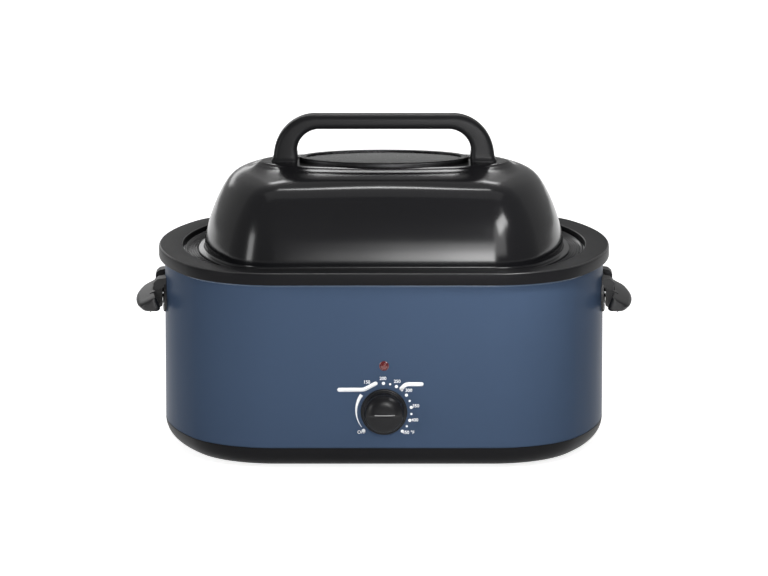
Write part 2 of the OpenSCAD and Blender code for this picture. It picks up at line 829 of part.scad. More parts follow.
// Section of the gripping bar as [distance out from the wall, height]: sloping top, flat underside
grip_section = [
    [grip_in - 3, grip_low], [handle_reach - 9, grip_low], [handle_reach - 5, grip_low + 1.2],
    [handle_reach - 1, grip_low + 5], [handle_reach, handle_top_z(handle_reach) - 2.2],
    [handle_reach - 3, handle_top_z(handle_reach - 3)], [grip_in + 2, handle_top_z(grip_in + 2)],
    [grip_in, handle_top_z(grip_in) - 0.6], [grip_in - 6.5, grip_low + 3]];
grip_middle = [(grip_in + handle_reach) / 2 - 2, handle_top_z(grip_in + handle_bar / 2) - 6];

// Share of the half length and share of the section, from the middle to the end
grip_taper = [[0, 1], [0.24, 1], [0.47, 1], [0.66, 1], [0.80, 1], [0.89, 0.97], [0.95, 0.89],
    [0.985, 0.75], [1, 0.56]];

function grip_ring(y, share) = let (x = body_w / 2 - pow(y, 2) / (2.4 * end_r))
    [for (p = grip_section)
        [x + grip_middle[0] + (p[0] - grip_middle[0]) * share, y,
         grip_middle[1] + (p[1] - grip_middle[1]) * (1 + share) / 2]];

// Gripping bar, bowed like the wall behind it, with rounded ends
module grip_bar() {
    steps = concat(reversed(grip_taper),
        [for (k = [1:len(grip_taper) - 1]) [-grip_taper[k][0], grip_taper[k][1]]]);
    skin([for (t = steps) grip_ring(t[0] * handle_l / 2, t[1])]);
}

module grip_arm() {
    inside = grip_in + 3;
    translate([body_w / 2, arm_w / 2, -0.3])
        rotate([90, 0, 0])
            linear_extrude(arm_w)
                polygon([[-arm_in, handle_top_z(-arm_in) - arm_h], [inside, handle_top_z(inside) - arm_h],
                    [inside, handle_top_z(inside)], [-arm_in, handle_top_z(-arm_in)]]);
}

module grip() {
    color("#1c1d1f")
        difference() {
            union() {
                grip_bar();
                for (end = [-1, 1])
                    translate([0, end * arm_y, 0])
                        grip_arm();
            }
            filled_outline(-bracket_t, handle_z - cut_below, cut_h);
            for (end = [-1, 1])
                translate([body_w / 2 - screw_cut_in, end * arm_y, grip_screw_z])
                    rotate([0, 90, 0])
                        cylinder(r = screw_r + fit, h = screw_cut_in + grip_screw_out);
        }
}

rivet_r = 1.6;
rivet_y = bracket_l / 2 - 6;
rivet_z = bracket_z + 12;

module at_rivets() {
    for (side = [-1, 1])
        for (end = [-1, 1])
            translate([side * side_wall_x(rivet_y), end * rivet_y, rivet_z])
                rotate([0, 0, (side > 0 ? 0 : 180) + side * end * side_turn])
                    rotate([0, 90, 0])
                        children();
}

module rivet_holes() {
    at_rivets()
        translate([0, 0, -wall_t - bracket_t])
            cylinder(r = rivet_r + fit, h = 3 * bracket_t + wall_t);
}

// Rivets through the handle plates and the painted wall
module bracket_rivets() {
    color("#b9bcc0")
        at_rivets() {
            translate([0, 0, -wall_t - 1])
                cylinder(r = rivet_r, h = wall_t + bracket_t + 1.01);
            translate([0, 0, bracket_t])
                cylinder(r1 = rivet_r * 2, r2 = rivet_r * 1.3, h = 1.4);
            translate([0, 0, -wall_t - 1.6])
                cylinder(r = rivet_r * 1.6, h = 1.6);
        }
}

module right_handle_bracket() {
    bracket();
}

module left_handle_bracket() {
    mirror([1, 0, 0])
        bracket();
}

module right_handle_grip() {
    grip();
}

module left_handle_grip() {
    mirror([1, 0, 0])
        grip();
}

// Screws from inside the wall into the arms of the side handles
module side_handle_screws() {
    seat = side_wall_x(arm_y + head_r) - wall_t - 0.1;
    color("#b9bcc0")
        for (side = [-1, 1])
            for (end = [-1, 1])
                translate([side * seat, end * arm_y, grip_screw_z])
                    rotate([0, side * 90, 0])
                        pan_head_screw(body_w / 2 - seat + grip_screw_out - 1);
}

// ---- Front control ----
stat_w = 34;
stat_h = 30;
stat_d = 20;
inner_face = front_y + wall_t;
bush_out = 2.6;
nut_r = 8;
spindle_out = knob_depth - 8;

module on_front(z) {
    translate([0, front_y, z])
        rotate([90, 0, 0])
            children();
}

// Thermostat behind the wall, with its threaded bush through it
module thermostat() {
    color("#cfc6b2")
        difference() {
            union() {
                translate([-stat_w / 2, inner_face, dial_z - stat_h / 2])
                    cube([stat_w, stat_d, stat_h]);
                on_front(dial_z)
                    translate([0, 0, -wall_t - join])
                        cylinder(r = bush_r, h = wall_t + join + bush_out);
            }
            on_front(dial_z)
                translate([0, 0, -wall_t - 12])
                    cylinder(r = spindle_r + 0.1, h = 12 + wall_t + bush_out + join);
        }
}

// Hexagon nut on the bush
module thermostat_nut() {
    color("#a8abb0")
        on_front(dial_z)
            difference() {
                cylinder(r = nut_r, h = bush_out - 0.4, $fn = 6);
                translate([0, 0, -join])
                    cylinder(r = bush_r + 0.05, h = bush_out + 2 * join);
            }
}

// Spindle turned by the knob
module thermostat_spindle() {
    color("#b9bcc0")
        on_front(dial_z)
            translate([0, 0, -wall_t - 11])
                cylinder(r = spindle_r, h = 11 + wall_t + spindle_out);
}

knob_skirt_t = 3;
knob_step_r = knob_r - 2.6;
dome_h = knob_depth - 12;
grip_w = 11;

// Control knob: stepped skirt, domed body and a bar across its face
module control_knob() {
    color("#1b1c1e")
        on_front(dial_z)
            difference() {
                union() {
                    translate([0, 0, knob_gap])
                        cylinder(r = knob_r, h = knob_skirt_t);
                    translate([0, 0, knob_gap + knob_skirt_t - 0.01])
                        cylinder(r = knob_step_r, h = 2);
                    rotate_extrude()
                        polygon(concat([[0, knob_gap + knob_skirt_t], [knob_body_r, knob_gap + knob_skirt_t],
                            [knob_body_r - 0.8, dome_h - 3]],
                            arc(knob_body_r - 4, dome_h - 3, 3, 0, 90, 4), [[0, dome_h]]));
                    intersection() {
                        translate([-knob_body_r, -grip_w / 2, dome_h - join])
                            cube([2 * knob_body_r, grip_w, knob_depth - dome_h + join]);
                        cylinder(r1 = knob_body_r + 2, r2 = knob_body_r - 3, h = knob_depth);
                    }
                }
                translate([0, 0, -join])
                    cylinder(r = nut_r + 1.6, h = bush_out + 1.4 + join);
                translate([0, 0, -join])
                    cylinder(r = spindle_r + 0.05, h = spindle_out + 0.4 + join);
                translate([-knob_body_r, -0.8, knob_depth - 1])
                    cube([9, 1.6, 2]);
            }
}

lens_t = 4.5;
flange_t = 1.2;

// Red indicator lens with a faceted front
module indicator_lens() {
    color("#7c1512")
        on_front(lamp_z)
            union() {
                cylinder(r = lamp_r, h = flange_t);
                translate([0, 0, flange_t - 0.01])
                    cylinder(r1 = lamp_r - 0.8, r2 = 2.2, h = lens_t - flange_t, $fn = 24);
            }
}

// Lamp holder clipped in the wall behind the lens
module indicator_holder() {
    color("#e6e3da")
        on_front(lamp_z)
            union() {
                translate([0, 0, -wall_t])
                    cylinder(r = holder_r, h = wall_t);
                translate([0, 0, -wall_t - 2])
                    cylinder(r = holder_r + 2, h = 2);
                translate([0, 0, -wall_t - 20])
                    cylinder(r = holder_r, h = 18.01);
            }
}

// ---- Cord inlet and wiring ----
module on_back(z) {
    translate([inlet_x, -front_y, z])
        rotate([-90, 0, 0])
            children();
}

gland_in = 12;

// Cord inlet: flanged bush through the back wall
module cord_gland() {
    color("#141414")
        on_back(inlet_z)
            difference() {
                union() {
                    translate([0, 0, -wall_t - gland_in])
                        cylinder(r = gland_r, h = gland_in + wall_t + 0.01);
                    cylinder(r = gland_r + 3.5, h = 4);
                    translate([0, 0, 3.99])
                        cylinder(r1 = gland_r + 1.5, r2 = inlet_bore + 2, h = inlet_out - 3.99);
                }
                translate([0, 0, -wall_t - gland_in - join])
                    cylinder(r = inlet_bore, h = gland_in + wall_t + inlet_out + 2 * join);
            }
}

// Nut that clamps the gland on the inside of the wall
module gland_nut() {
    color("#2b2c2e")
        on_back(inlet_z)
            translate([0, 0, -wall_t - 4])
                difference() {
                    cylinder(r = gland_r + 4, h = 4, $fn = 6);
                    translate([0, 0, -join])
                        cylinder(r = gland_r + 0.05, h = 4 + 2 * join);
                }
}

block_l = 44;
block_w = 16;
block_h = 12;
block_y = -front_y - 76;

// Terminal block on the bottom plate near the inlet
module terminal_block() {
    color("#e4dfd2")
        difference() {
            translate([inlet_x - block_l - 30, block_y - block_w / 2, plate_top])
                cube([block_l, block_w, block_h]);
            for (k = [0:3])
                translate([inlet_x - block_l - 30 + 5.5 + 11 * k, block_y, plate_top + 4])
                    cylinder(r = 2.6, h = block_h);
        }
}

lead_r = 1.6;
lead_low = plate_top + 3;

// Leads from the terminal block to the thermostat
module internal_leads() {
    block_x = inlet_x - block_l - 30;
    start_y = block_y - block_w / 2;
    stat_back = inner_face + stat_d;
    color("#c9c3b6")
        for (k = [0:2])
            let (x0 = block_x + 8 + 11 * k, x1 = -10 + 10 * k)
                wire([[x0, start_y - 0.1, lead_low], [x0, start_y - 12, lead_low],
                      [x0 - 10, start_y - 40, lead_low], [x1 + 14, 60, lead_low], [x1 + 6, 0, lead_low],
                      [x1 + 2, -70, lead_low], [x1, stat_back + 65, lead_low],
                      [x1, stat_back + 23, lead_low + 6], [x1, stat_back + 13, lead_low + 26],
                      [x1, stat_back + 7, dial_z - 24], [x1, stat_back + 5, dial_z - 6],
                      [x1, stat_back + 2.4, dial_z - 3], [x1, stat_back + 0.1, dial_z - 3]], lead_r, 6);
}

base_skirt();
bottom_plate();
bottom_screws();
rubber_feet();
foot_screws();
front_wrap();
rear_wrap();
rim_trim();
heating_well();
heating_band();
insulation_blanket();
heat_shield();
support_posts();
roasting_pan();
wire_rack();
lid_shell();
window_gasket();
window_glass();
window_bezel();
lid_handle();
lid_handle_screws();
left_handle_bracket();
right_handle_bracket();
left_handle_grip();
right_handle_grip();
side_handle_screws();
bracket_rivets();
thermostat();
thermostat_nut();
thermostat_spindle();
control_knob();
indicator_lens();
indicator_holder();
cord_gland();
gland_nut();
terminal_block();
internal_leads();
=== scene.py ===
import math

import bmesh
import bpy
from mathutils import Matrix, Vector


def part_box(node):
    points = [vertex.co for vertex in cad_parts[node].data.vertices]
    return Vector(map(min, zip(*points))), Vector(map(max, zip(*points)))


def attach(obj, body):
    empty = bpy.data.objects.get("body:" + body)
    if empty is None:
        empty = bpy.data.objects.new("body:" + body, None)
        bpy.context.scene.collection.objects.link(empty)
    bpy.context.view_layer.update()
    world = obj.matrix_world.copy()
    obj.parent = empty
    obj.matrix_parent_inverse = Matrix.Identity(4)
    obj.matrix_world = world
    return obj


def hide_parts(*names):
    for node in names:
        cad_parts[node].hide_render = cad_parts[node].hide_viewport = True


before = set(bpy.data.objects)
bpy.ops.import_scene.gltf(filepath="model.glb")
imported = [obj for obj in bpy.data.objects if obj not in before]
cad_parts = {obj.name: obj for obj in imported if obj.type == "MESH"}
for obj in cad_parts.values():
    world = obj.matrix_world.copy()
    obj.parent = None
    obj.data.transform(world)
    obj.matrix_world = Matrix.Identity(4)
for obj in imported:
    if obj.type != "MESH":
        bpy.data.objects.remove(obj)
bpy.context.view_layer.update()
bpy.context.scene.view_settings.view_transform = "Standard"
mm = 0.001
fullTurn = 2 * math.pi

# Looks of a roaster oven. Every shell that shows is rebuilt smooth, on the sizes that the frame gives.

# camera, level with the photograph's eye: far away with a long lens
view = {"height": 190 * mm, "distance": 7.05, "downAngle": 10.43, "lens": 262.7, "sensor": 36, "farEnd": 40}


def addCamera():
    down, reach = math.radians(view["downAngle"]), view["distance"]
    data = bpy.data.cameras.new("camera")
    data.lens = view["lens"]
    data.sensor_width = view["sensor"]
    data.clip_end = view["farEnd"]
    camera = addObject("camera", data)
    camera.location = (0, -reach * math.cos(down), view["height"] + reach * math.sin(down))
    camera.rotation_euler = (math.radians(90) - down, 0, 0)
    bpy.context.scene.camera = camera


def addObject(name, data):
    piece = bpy.data.objects.new(name, data)
    bpy.context.scene.collection.objects.link(piece)
    return piece


addCamera()
print("camera placed")

# plan outline that wall, base, rim, well, pan and lid share: straight front and back,
# round corners and bowed ends, all tangent
plan = {"straight": 266 * mm, "cornerRadius": 118 * mm, "cornerSteps": 20, "endSteps": 20,
        "straightSteps": 14}
quarters = [(sx, sy) for sx in (-1, 1) for sy in (-1, 1)]
wallLow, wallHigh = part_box("front_wrap")
halfW, halfD = wallHigh.x, -wallLow.y
front = -halfD
cornerR = plan["cornerRadius"]
halfStraight = plan["straight"] / 2
endRun, sideRun = halfW - halfStraight, halfD - cornerR
endR = (endRun ** 2 + sideRun ** 2 - cornerR ** 2) / (2 * (endRun - cornerR))
endX = endR - halfW
split = math.atan2(sideRun, halfStraight + endX)


def arcStations(cx, cy, r, start, stop, steps):
    return [(cx, cy, r, start + (stop - start) * k / steps) for k in range(steps)]


def straightStations(side):
    steps = plan["straightSteps"]
    return [(side * halfStraight * (1 - 2 * k / steps), side * sideRun, cornerR, side * math.pi / 2)
            for k in range(steps)]


def planStations():
    corner, end, half = plan["cornerSteps"], plan["endSteps"], math.pi
    return (arcStations(-endX, 0, endR, -split, split, end)
            + arcStations(halfStraight, sideRun, cornerR, split, half / 2, corner)
            + straightStations(1)
            + arcStations(-halfStraight, sideRun, cornerR, half / 2, half - split, corner)
            + arcStations(endX, 0, endR, half - split, half + split, end)
            + arcStations(-halfStraight, -sideRun, cornerR, half + split, 1.5 * half, corner)
            + straightStations(-1)
            + arcStations(halfStraight, -sideRun, cornerR, 1.5 * half, 2 * half - split, corner))


stations = planStations()


def outline(inset):
    return [(cx + (r - inset) * math.cos(a), cy + (r - inset) * math.sin(a)) for cx, cy, r, a in stations]


def ringAt(inset, z):
    return [Vector((x, y, z)) for x, y in outline(inset)]


def endWallX(y, out=0.0):
    # where the bowed end of the wall stands at a depth
    return -endX + math.sqrt((endR + out) ** 2 - y * y)


def circle(r, z, steps, twist=0.0):
    angles = [twist + fullTurn * j / steps for j in range(steps)]
    return [Vector((r * math.cos(a), r * math.sin(a), z)) for a in angles]


def arc(cx, cy, r, start, stop, steps):
    angles = [math.radians(start + (stop - start) * k / steps) for k in range(steps + 1)]
    return [(cx + r * math.cos(a), cy + r * math.sin(a)) for a in angles]


def beside(x, z, *rows):
    # points that are given in millimetres from one point of a profile
    return [(x + across * mm, z + up * mm) for across, up in rows]


def rounded(points, radius, steps=4, closed=True):
    # the same polygon with its corners turned into short curves
    result = []
    count = len(points)
    for k, corner in enumerate(points):
        if not closed and k in (0, count - 1):
            result.append(tuple(corner))
            continue
        here = Vector(corner)
        before, after = Vector(points[k - 1]) - here, Vector(points[(k + 1) % count]) - here
        cut = min(radius, before.length * 0.45, after.length * 0.45)
        start, stop = here + before.normalized() * cut, here + after.normalized() * cut
        for s in range(steps + 1):
            t = s / steps
            result.append(tuple((1 - t) ** 2 * start + 2 * t * (1 - t) * here + t * t * stop))
    return result


def catmull(rows, steps):
    # smooth curve through rows of numbers of equal length
    result = []
    for k in range(len(rows) - 1):
        a, b, c, d = rows[max(k - 1, 0)], rows[k], rows[k + 1], rows[min(k + 2, len(rows) - 1)]
        for s in range(steps):
            t = s / steps
            wa, wb = -0.5 * t + t ** 2 - 0.5 * t ** 3, 1 - 2.5 * t ** 2 + 1.5 * t ** 3
            wc, wd = 0.5 * t + 2 * t ** 2 - 1.5 * t ** 3, -0.5 * t ** 2 + 0.5 * t ** 3
            result.append([wa * p + wb * q + wc * r + wd * u for p, q, r, u in zip(a, b, c, d)])
    result.append(list(rows[-1]))
    return result


# meshes: a shape is a pair of points and faces
def skin(rings, looped=False, caps=True):
    count, levels = len(rings[0]), len(rings)
    points = [p for ring in rings for p in ring]
    faces = []
    for i in range(levels if looped else levels - 1):
        up = (i + 1) % levels
        for j in range(count):
            n = (j + 1) % count
            faces.append((i * count + j, i * count + n, up * count + n, up * count + j))
    if caps and not looped:
        faces.append(tuple(range(count)))
        faces.append(tuple((levels - 1) * count + j for j in range(count)))
    return points, faces


def joined(*shapes):
    points, faces = [], []
    for partPoints, partFaces in shapes:
        start = len(points)
        points += list(partPoints)
        faces += [tuple(start + v for v in face) for face in partFaces]
    return points, faces


def lathe(profile, steps):
    # profile of (radius, height) turned about Z
    return skin([circle(r, z, steps) for r, z in profile])


def ontoFront(shape, z):
    # turns a shape made along +Z so that it points out of the front wall
    points, faces = shape
    return [Vector((p.x, front - p.z, z + p.y)) for p in points], faces


def makePiece(name, shape, material, sharp=35):
    points, faces = shape
    mesh = bpy.data.meshes.new(name)
    mesh.from_pydata([tuple(p) for p in points], [], faces)
    work = bmesh.new()
    work.from_mesh(mesh)
    bmesh.ops.remove_doubles(work, verts=work.verts, dist=1e-6)
    bmesh.ops.dissolve_degenerate(work, edges=work.edges, dist=1e-7)
    bmesh.ops.recalc_face_normals(work, faces=work.faces)
    work.to_mesh(mesh)
    work.free()
    mesh.materials.append(material)
    mesh.shade_smooth()
    mesh.set_sharp_from_angle(angle=math.radians(sharp))
    return addObject(name, mesh)


def aroundPlan(name, profile, material, looped=True, sharp=35):
    return makePiece(name, skin([ringAt(inset, z) for inset, z in profile], looped), material, sharp)


def paintPart(piece, material, inPart):
    # second finish for the faces that the test picks by middle and normal; here it paints lighter, glossier
    # highlight lines on the wall's bead and the rim's edge
    piece.data.materials.append(material)
    for face in piece.data.polygons:
        if inPart(face.center, face.normal):
            face.material_index = 1


def softenEdges(piece, width, steps):
    bevel = piece.modifiers.new("softEdges", "BEVEL")
    bevel.width = width
    bevel.segments = steps
    bevel.limit_method = "ANGLE"
    bevel.angle_limit = math.radians(40)
    bevel.harden_normals = True


def thicken(piece, thickness):
    sheet = piece.modifiers.new("sheet", "SOLIDIFY")
    sheet.thickness = thickness
    sheet.offset = -1


def settle(piece, body, slot, *nodes):
    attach(piece, body)
    if nodes:
        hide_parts(*nodes)


# node trees: a socket takes a constant or a link
def feed(tree, socket, value):
    if isinstance(value, bpy.types.NodeSocket):
        tree.links.new(value, socket)
    else:
        socket.default_value = value


def addNode(tree, kind, sockets=None, **settings):
    node = tree.nodes.new(kind)
    for label, value in settings.items():
        setattr(node, label, value)
    for label, value in (sockets or {}).items():
        feed(tree, node.inputs[label], value)
    return node.outputs


def mathNode(tree, operation, *values):
    return addNode(tree, "ShaderNodeMath", dict(enumerate(values)), operation=operation)["Value"]


def nodeTree(name, kind, inputs, outputs):
    tree = bpy.data.node_groups.new(name, kind)
    for label, (socketKind, value) in inputs.items():
        socket = tree.interface.new_socket(label, in_out="INPUT", socket_type="NodeSocket" + socketKind)
        if value is not None:
            socket.default_value = value
    for label, socketKind in outputs.items():
        tree.interface.new_socket(label, in_out="OUTPUT", socket_type="NodeSocket" + socketKind)
    return tree, tree.nodes.new("NodeGroupInput").outputs, tree.nodes.new("NodeGroupOutput").inputs


def noise(tree, where, size, detail, roughness=0.5):
    return addNode(tree, "ShaderNodeTexNoise", {
        "Vector": where, "Scale": size, "Detail": detail, "Roughness": roughness})["Fac"]


def mapped(tree, value, limits):
    return addNode(tree, "ShaderNodeMapRange", {"Value": value, **limits})["Result"]


# shader groups
def fineGrain():
    # small bumps of moulded plastic, enamel or paint, with a slow drift of tone
    tree, given, result = nodeTree("fineGrain", "ShaderNodeTree", {
        "Vector": ("Vector", None), "Size": ("Float", 900.0), "Drift Size": ("Float", 6.0),
        "Sharpness": ("Float", 0.5)}, {"Height": "Float", "Drift": "Float"})
    small = noise(tree, given["Vector"], given["Size"], 3, given["Sharpness"])
    slow = noise(tree, given["Vector"], given["Drift Size"], 2)
    feed(tree, result["Height"], small)
    feed(tree, result["Drift"], slow)
    return tree


def lightDust():
    # thin dust that settles on what faces up, as a mask
    tree, given, result = nodeTree("lightDust", "ShaderNodeTree", {
        "Vector": ("Vector", None), "Speck Size": ("Float", 240.0), "Amount": ("Float", 0.2)},
        {"Mask": "Float"})
    specks = noise(tree, given["Vector"], given["Speck Size"], 5)
    sharpened = mapped(tree, specks, {"From Min": 0.52, "From Max": 0.78})
    normal = addNode(tree, "ShaderNodeNewGeometry")["Normal"]
    upward = addNode(tree, "ShaderNodeSeparateXYZ", {"Vector": normal})["Z"]
    top = mapped(tree, upward, {"From Min": 0.35, "From Max": 1.0})
    both = mathNode(tree, "MULTIPLY", sharpened, top)
    feed(tree, result["Mask"], mathNode(tree, "MULTIPLY", both, given["Amount"]))
    return tree


def brushMarks():
    # long fine scratches of brushed or drawn metal
    tree, given, result = nodeTree("brushMarks", "ShaderNodeTree", {
        "Vector": ("Vector", None), "Stretch": ("Vector", (8.0, 900.0, 900.0))},
        {"Height": "Float", "Shade": "Float"})
    stretched = addNode(tree, "ShaderNodeVectorMath", {0: given["Vector"], 1: given["Stretch"]},
                        operation="MULTIPLY")["Vector"]
    lines = noise(tree, stretched, 1, 4)
    feed(tree, result["Height"], lines)
    feed(tree, result["Shade"], mapped(tree, lines, {"From Min": 0.3, "From Max": 0.7}))
    return tree


grainGroup, dustGroup, brushGroup = fineGrain(), lightDust(), brushMarks()


# materials
def startMaterial(name, values):
    material = bpy.data.materials.new(name)
    material.use_nodes = True
    tree = material.node_tree
    shader = tree.nodes["Principled BSDF"].inputs
    for label, value in values.items():
        shader[label].default_value = value
    return material, tree, shader


def useGroup(tree, group, values):
    place = addNode(tree, "ShaderNodeTexCoord")["Object"]
    return addNode(tree, "ShaderNodeGroup", {"Vector": place, **values}, node_tree=group)


def mixColour(tree, factor, low, high):
    return addNode(tree, "ShaderNodeMix", {"Factor": factor, "A": low, "B": (*high, 1)},
                   data_type="RGBA")["Result"]


def spread(tree, value, limits, socket):
    # turns a 0 to 1 value into a range of roughness
    feed(tree, socket, mapped(tree, value, {"To Min": limits[0], "To Max": limits[1]}))


def addBump(tree, height, distance, strength, shader):
    bump = addNode(tree, "ShaderNodeBump", {
        "Height": height, "Distance": distance * mm, "Strength": strength})["Normal"]
    feed(tree, shader["Normal"], bump)


def coated(name, dark, light, rough, grainSize, bump, dust=0.0, gloss=0.5):
    # paint, enamel or moulded plastic: drifting tone, fine grain and a breath of dust
    material, tree, shader = startMaterial(name, {"Specular IOR Level": gloss})
    grain = useGroup(tree, grainGroup, {"Size": grainSize})
    specks = useGroup(tree, dustGroup, {"Amount": dust})
    tone = mixColour(tree, grain["Drift"], (*dark, 1), light)
    feed(tree, shader["Base Color"], mixColour(tree, specks["Mask"], tone, (0.20, 0.20, 0.21)))
    spread(tree, grain["Drift"], rough, shader["Roughness"])
    addBump(tree, grain["Height"], bump, 0.5, shader)
    return material


def metal(name, dark, light, rough, stretch):
    material, tree, shader = startMaterial(name, {"Metallic": 1.0})
    marks = useGroup(tree, brushGroup, {"Stretch": stretch})
    feed(tree, shader["Base Color"], mixColour(tree, marks["Shade"], (*dark, 1), light))
    spread(tree, marks["Shade"], rough, shader["Roughness"])
    addBump(tree, marks["Height"], 0.02, 0.4, shader)
    return material


def clearGlass():
    material, tree, shader = startMaterial("clearGlass", {
        "Base Color": (0.86, 0.89, 0.88, 1), "Transmission Weight": 1.0, "IOR": 1.45})
    grain = useGroup(tree, grainGroup, {"Size": 60.0})
    spread(tree, grain["Drift"], (0.02, 0.05), shader["Roughness"])
    return material


def redLens():
    material, tree, shader = startMaterial("redLens", {
        "Transmission Weight": 0.35, "IOR": 1.5, "Emission Strength": 0.03,
        "Emission Color": (0.8, 0.02, 0.01, 1), "Coat Weight": 0.6})
    grain = useGroup(tree, grainGroup, {"Size": 400.0})
    tone = mixColour(tree, grain["Drift"], (0.10, 0.006, 0.006, 1), (0.15, 0.008, 0.007))
    feed(tree, shader["Base Color"], tone)
    spread(tree, grain["Height"], (0.12, 0.22), shader["Roughness"])
    return material


# darker and lighter tone, roughness, grain size, grain depth in mm, dust, specular level
coats = {
    "bluePaint": ((0.047, 0.072, 0.122), (0.052, 0.079, 0.132), (0.26, 0.32), 1400, 0.03, 0.0, 0.006),
    # the bead's blue is lighter and glossier than the wall: a painted highlight line under the rim
    "blueBeadHighlight": ((0.070, 0.105, 0.165), (0.080, 0.118, 0.180), (0.22, 0.28), 1400, 0.03),
    # the rim edge's black is lighter and glossier than the moulding: a painted highlight line along the rim's
    # top edge
    "rimEdgeHighlight": ((0.012, 0.012, 0.013), (0.016, 0.016, 0.017), (0.26, 0.34), 1600, 0.05, 0.02, 0.6),
    "blackMoulding": ((0.008, 0.008, 0.009), (0.011, 0.011, 0.012), (0.38, 0.46), 1600, 0.06, 0.06, 0.05),
    "blackHandle": ((0.009, 0.009, 0.010), (0.012, 0.012, 0.013), (0.30, 0.37), 1800, 0.05, 0.04, 0.12),
    "blackGrip": ((0.010, 0.010, 0.011), (0.014, 0.014, 0.015), (0.34, 0.42), 1800, 0.06, 0.04, 0.4),
    "blackKnob": ((0.006, 0.006, 0.007), (0.008, 0.008, 0.009), (0.27, 0.33), 1800, 0.04, 0.02, 0.17),
    "lidEnamel": ((0.006, 0.006, 0.007), (0.008, 0.008, 0.009), (0.14, 0.20), 500, 0.02, 0.02, 0.3),
    "panEnamel": ((0.010, 0.010, 0.012), (0.016, 0.016, 0.018), (0.16, 0.24), 700, 0.03, 0.0, 0.15),
    "blackRubber": ((0.010, 0.010, 0.010), (0.016, 0.016, 0.016), (0.65, 0.8), 700, 0.1),
    "blackNylon": ((0.012, 0.012, 0.012), (0.018, 0.018, 0.018), (0.4, 0.5), 700, 0.1),
    "mineralWool": ((0.48, 0.44, 0.33), (0.62, 0.58, 0.46), (0.9, 1.0), 260, 1.2),
    "micaBand": ((0.30, 0.24, 0.14), (0.42, 0.35, 0.22), (0.5, 0.65), 320, 0.2),
    "ceramic": ((0.58, 0.55, 0.48), (0.66, 0.63, 0.56), (0.45, 0.55), 500, 0.1),
    "leadSleeve": ((0.50, 0.46, 0.38), (0.58, 0.54, 0.45), (0.6, 0.7), 900, 0.1),
    "dialWhite": ((0.90, 0.91, 0.92), (0.95, 0.96, 0.97), (0.45, 0.55), 1500, 0.01),
    # light grey of the knob's pointer line: also a painted highlight along the crest
    "crestHighlightGrey": ((0.20, 0.20, 0.20), (0.27, 0.27, 0.27), (0.35, 0.45), 900, 0.03),
}
# darker and lighter tone, roughness, and how closely the marks lie along X, Y and Z
metals = {
    "bezelSteel": ((0.018, 0.018, 0.019), (0.032, 0.032, 0.033), (0.30, 0.40), (12, 700, 700)),
    "wellSteel": ((0.42, 0.43, 0.44), (0.58, 0.59, 0.60), (0.30, 0.42), (700, 700, 10)),
    "sheetSteel": ((0.40, 0.41, 0.42), (0.55, 0.56, 0.57), (0.34, 0.46), (10, 600, 600)),
    "platedSteel": ((0.52, 0.53, 0.54), (0.66, 0.67, 0.68), (0.22, 0.30), (400, 400, 400)),
    "chromedWire": ((0.66, 0.67, 0.69), (0.74, 0.75, 0.77), (0.10, 0.16), (300, 300, 300)),
}
paint = {name: coated(name, *values) for name, values in coats.items()}
steel = {name: metal(name, *values) for name, values in metals.items()}
windowClear, lensRed = clearGlass(), redLens()
print("materials made")


# geometry node rules for what repeats
def ruleTree(name, sizes):
    return nodeTree(name, "GeometryNodeTree", {
        "Geometry": ("Geometry", None), **sizes, "Material": ("Material", None)}, {"Geometry": "Geometry"})


def closeTree(tree, given, result, copies):
    whole = addNode(tree, "GeometryNodeRealizeInstances", {"Geometry": copies["Instances"]})["Geometry"]
    painted = addNode(tree, "GeometryNodeSetMaterial", {"Geometry": whole, "Material": given["Material"]})
    feed(tree, result["Geometry"], painted["Geometry"])
    return tree


def bakedMesh(source):
    bpy.context.view_layer.update()
    graph = bpy.context.evaluated_depsgraph_get()
    return bpy.data.meshes.new_from_object(source.evaluated_get(graph))


def runTree(name, tree, material, values, points=(), aims=()):
    # runs the rule on a few points and keeps the result as a plain mesh
    mesh = bpy.data.meshes.new(name)
    mesh.from_pydata([tuple(p) for p in points], [], [])
    if aims:
        aim = mesh.attributes.new("aim", "FLOAT_VECTOR", "POINT")
        aim.data.foreach_set("vector", [c for a in aims for c in a])
    piece = addObject(name, mesh)
    rule = piece.modifiers.new("rule", "NODES")
    rule.node_group = tree
    values = {**values, "Material": material}
    for item in tree.interface.items_tree:
        if item.in_out == "INPUT" and item.name in values:
            rule[item.identifier] = values[item.name]
    result = bakedMesh(piece)
    piece.modifiers.remove(rule)
    piece.data = result
    result.name = name
    result.shade_smooth()
    result.set_sharp_from_angle(angle=math.radians(35))
    return piece


def repeat(name, tree, shape, material, values, points=(), aims=()):
    sample = makePiece(name + "Sample", shape, material)
    piece = runTree(name, tree, material, {"Shape": sample, **values}, points, aims)
    bpy.data.objects.remove(sample)
    return piece


def copiesOf(tree, sample, points, turns):
    shape = addNode(tree, "GeometryNodeObjectInfo", {"Object": sample})["Geometry"]
    return addNode(tree, "GeometryNodeInstanceOnPoints", {
        "Points": points, "Instance": shape, "Rotation": turns})


def copiesTree():
    # one copy of a shape on every point, its Z turned along the point's aim
    tree, given, result = ruleTree("copiesOnPoints", {"Shape": ("Object", None), "Spin": ("Float", 0.0)})
    aim = addNode(tree, "GeometryNodeInputNamedAttribute", {"Name": "aim"}, data_type="FLOAT_VECTOR")
    turned = addNode(tree, "FunctionNodeAlignRotationToVector", {"Vector": aim["Attribute"]}, axis="Z")
    spin = addNode(tree, "FunctionNodeAxisAngleToRotation", {"Axis": (0, 0, 1), "Angle": given["Spin"]})
    both = addNode(tree, "FunctionNodeRotateRotation", {
        "Rotation": turned["Rotation"], "Rotate By": spin["Rotation"]}, rotation_space="LOCAL")
    copies = copiesOf(tree, given["Shape"], given["Geometry"], both["Rotation"])
    return closeTree(tree, given, result, copies)


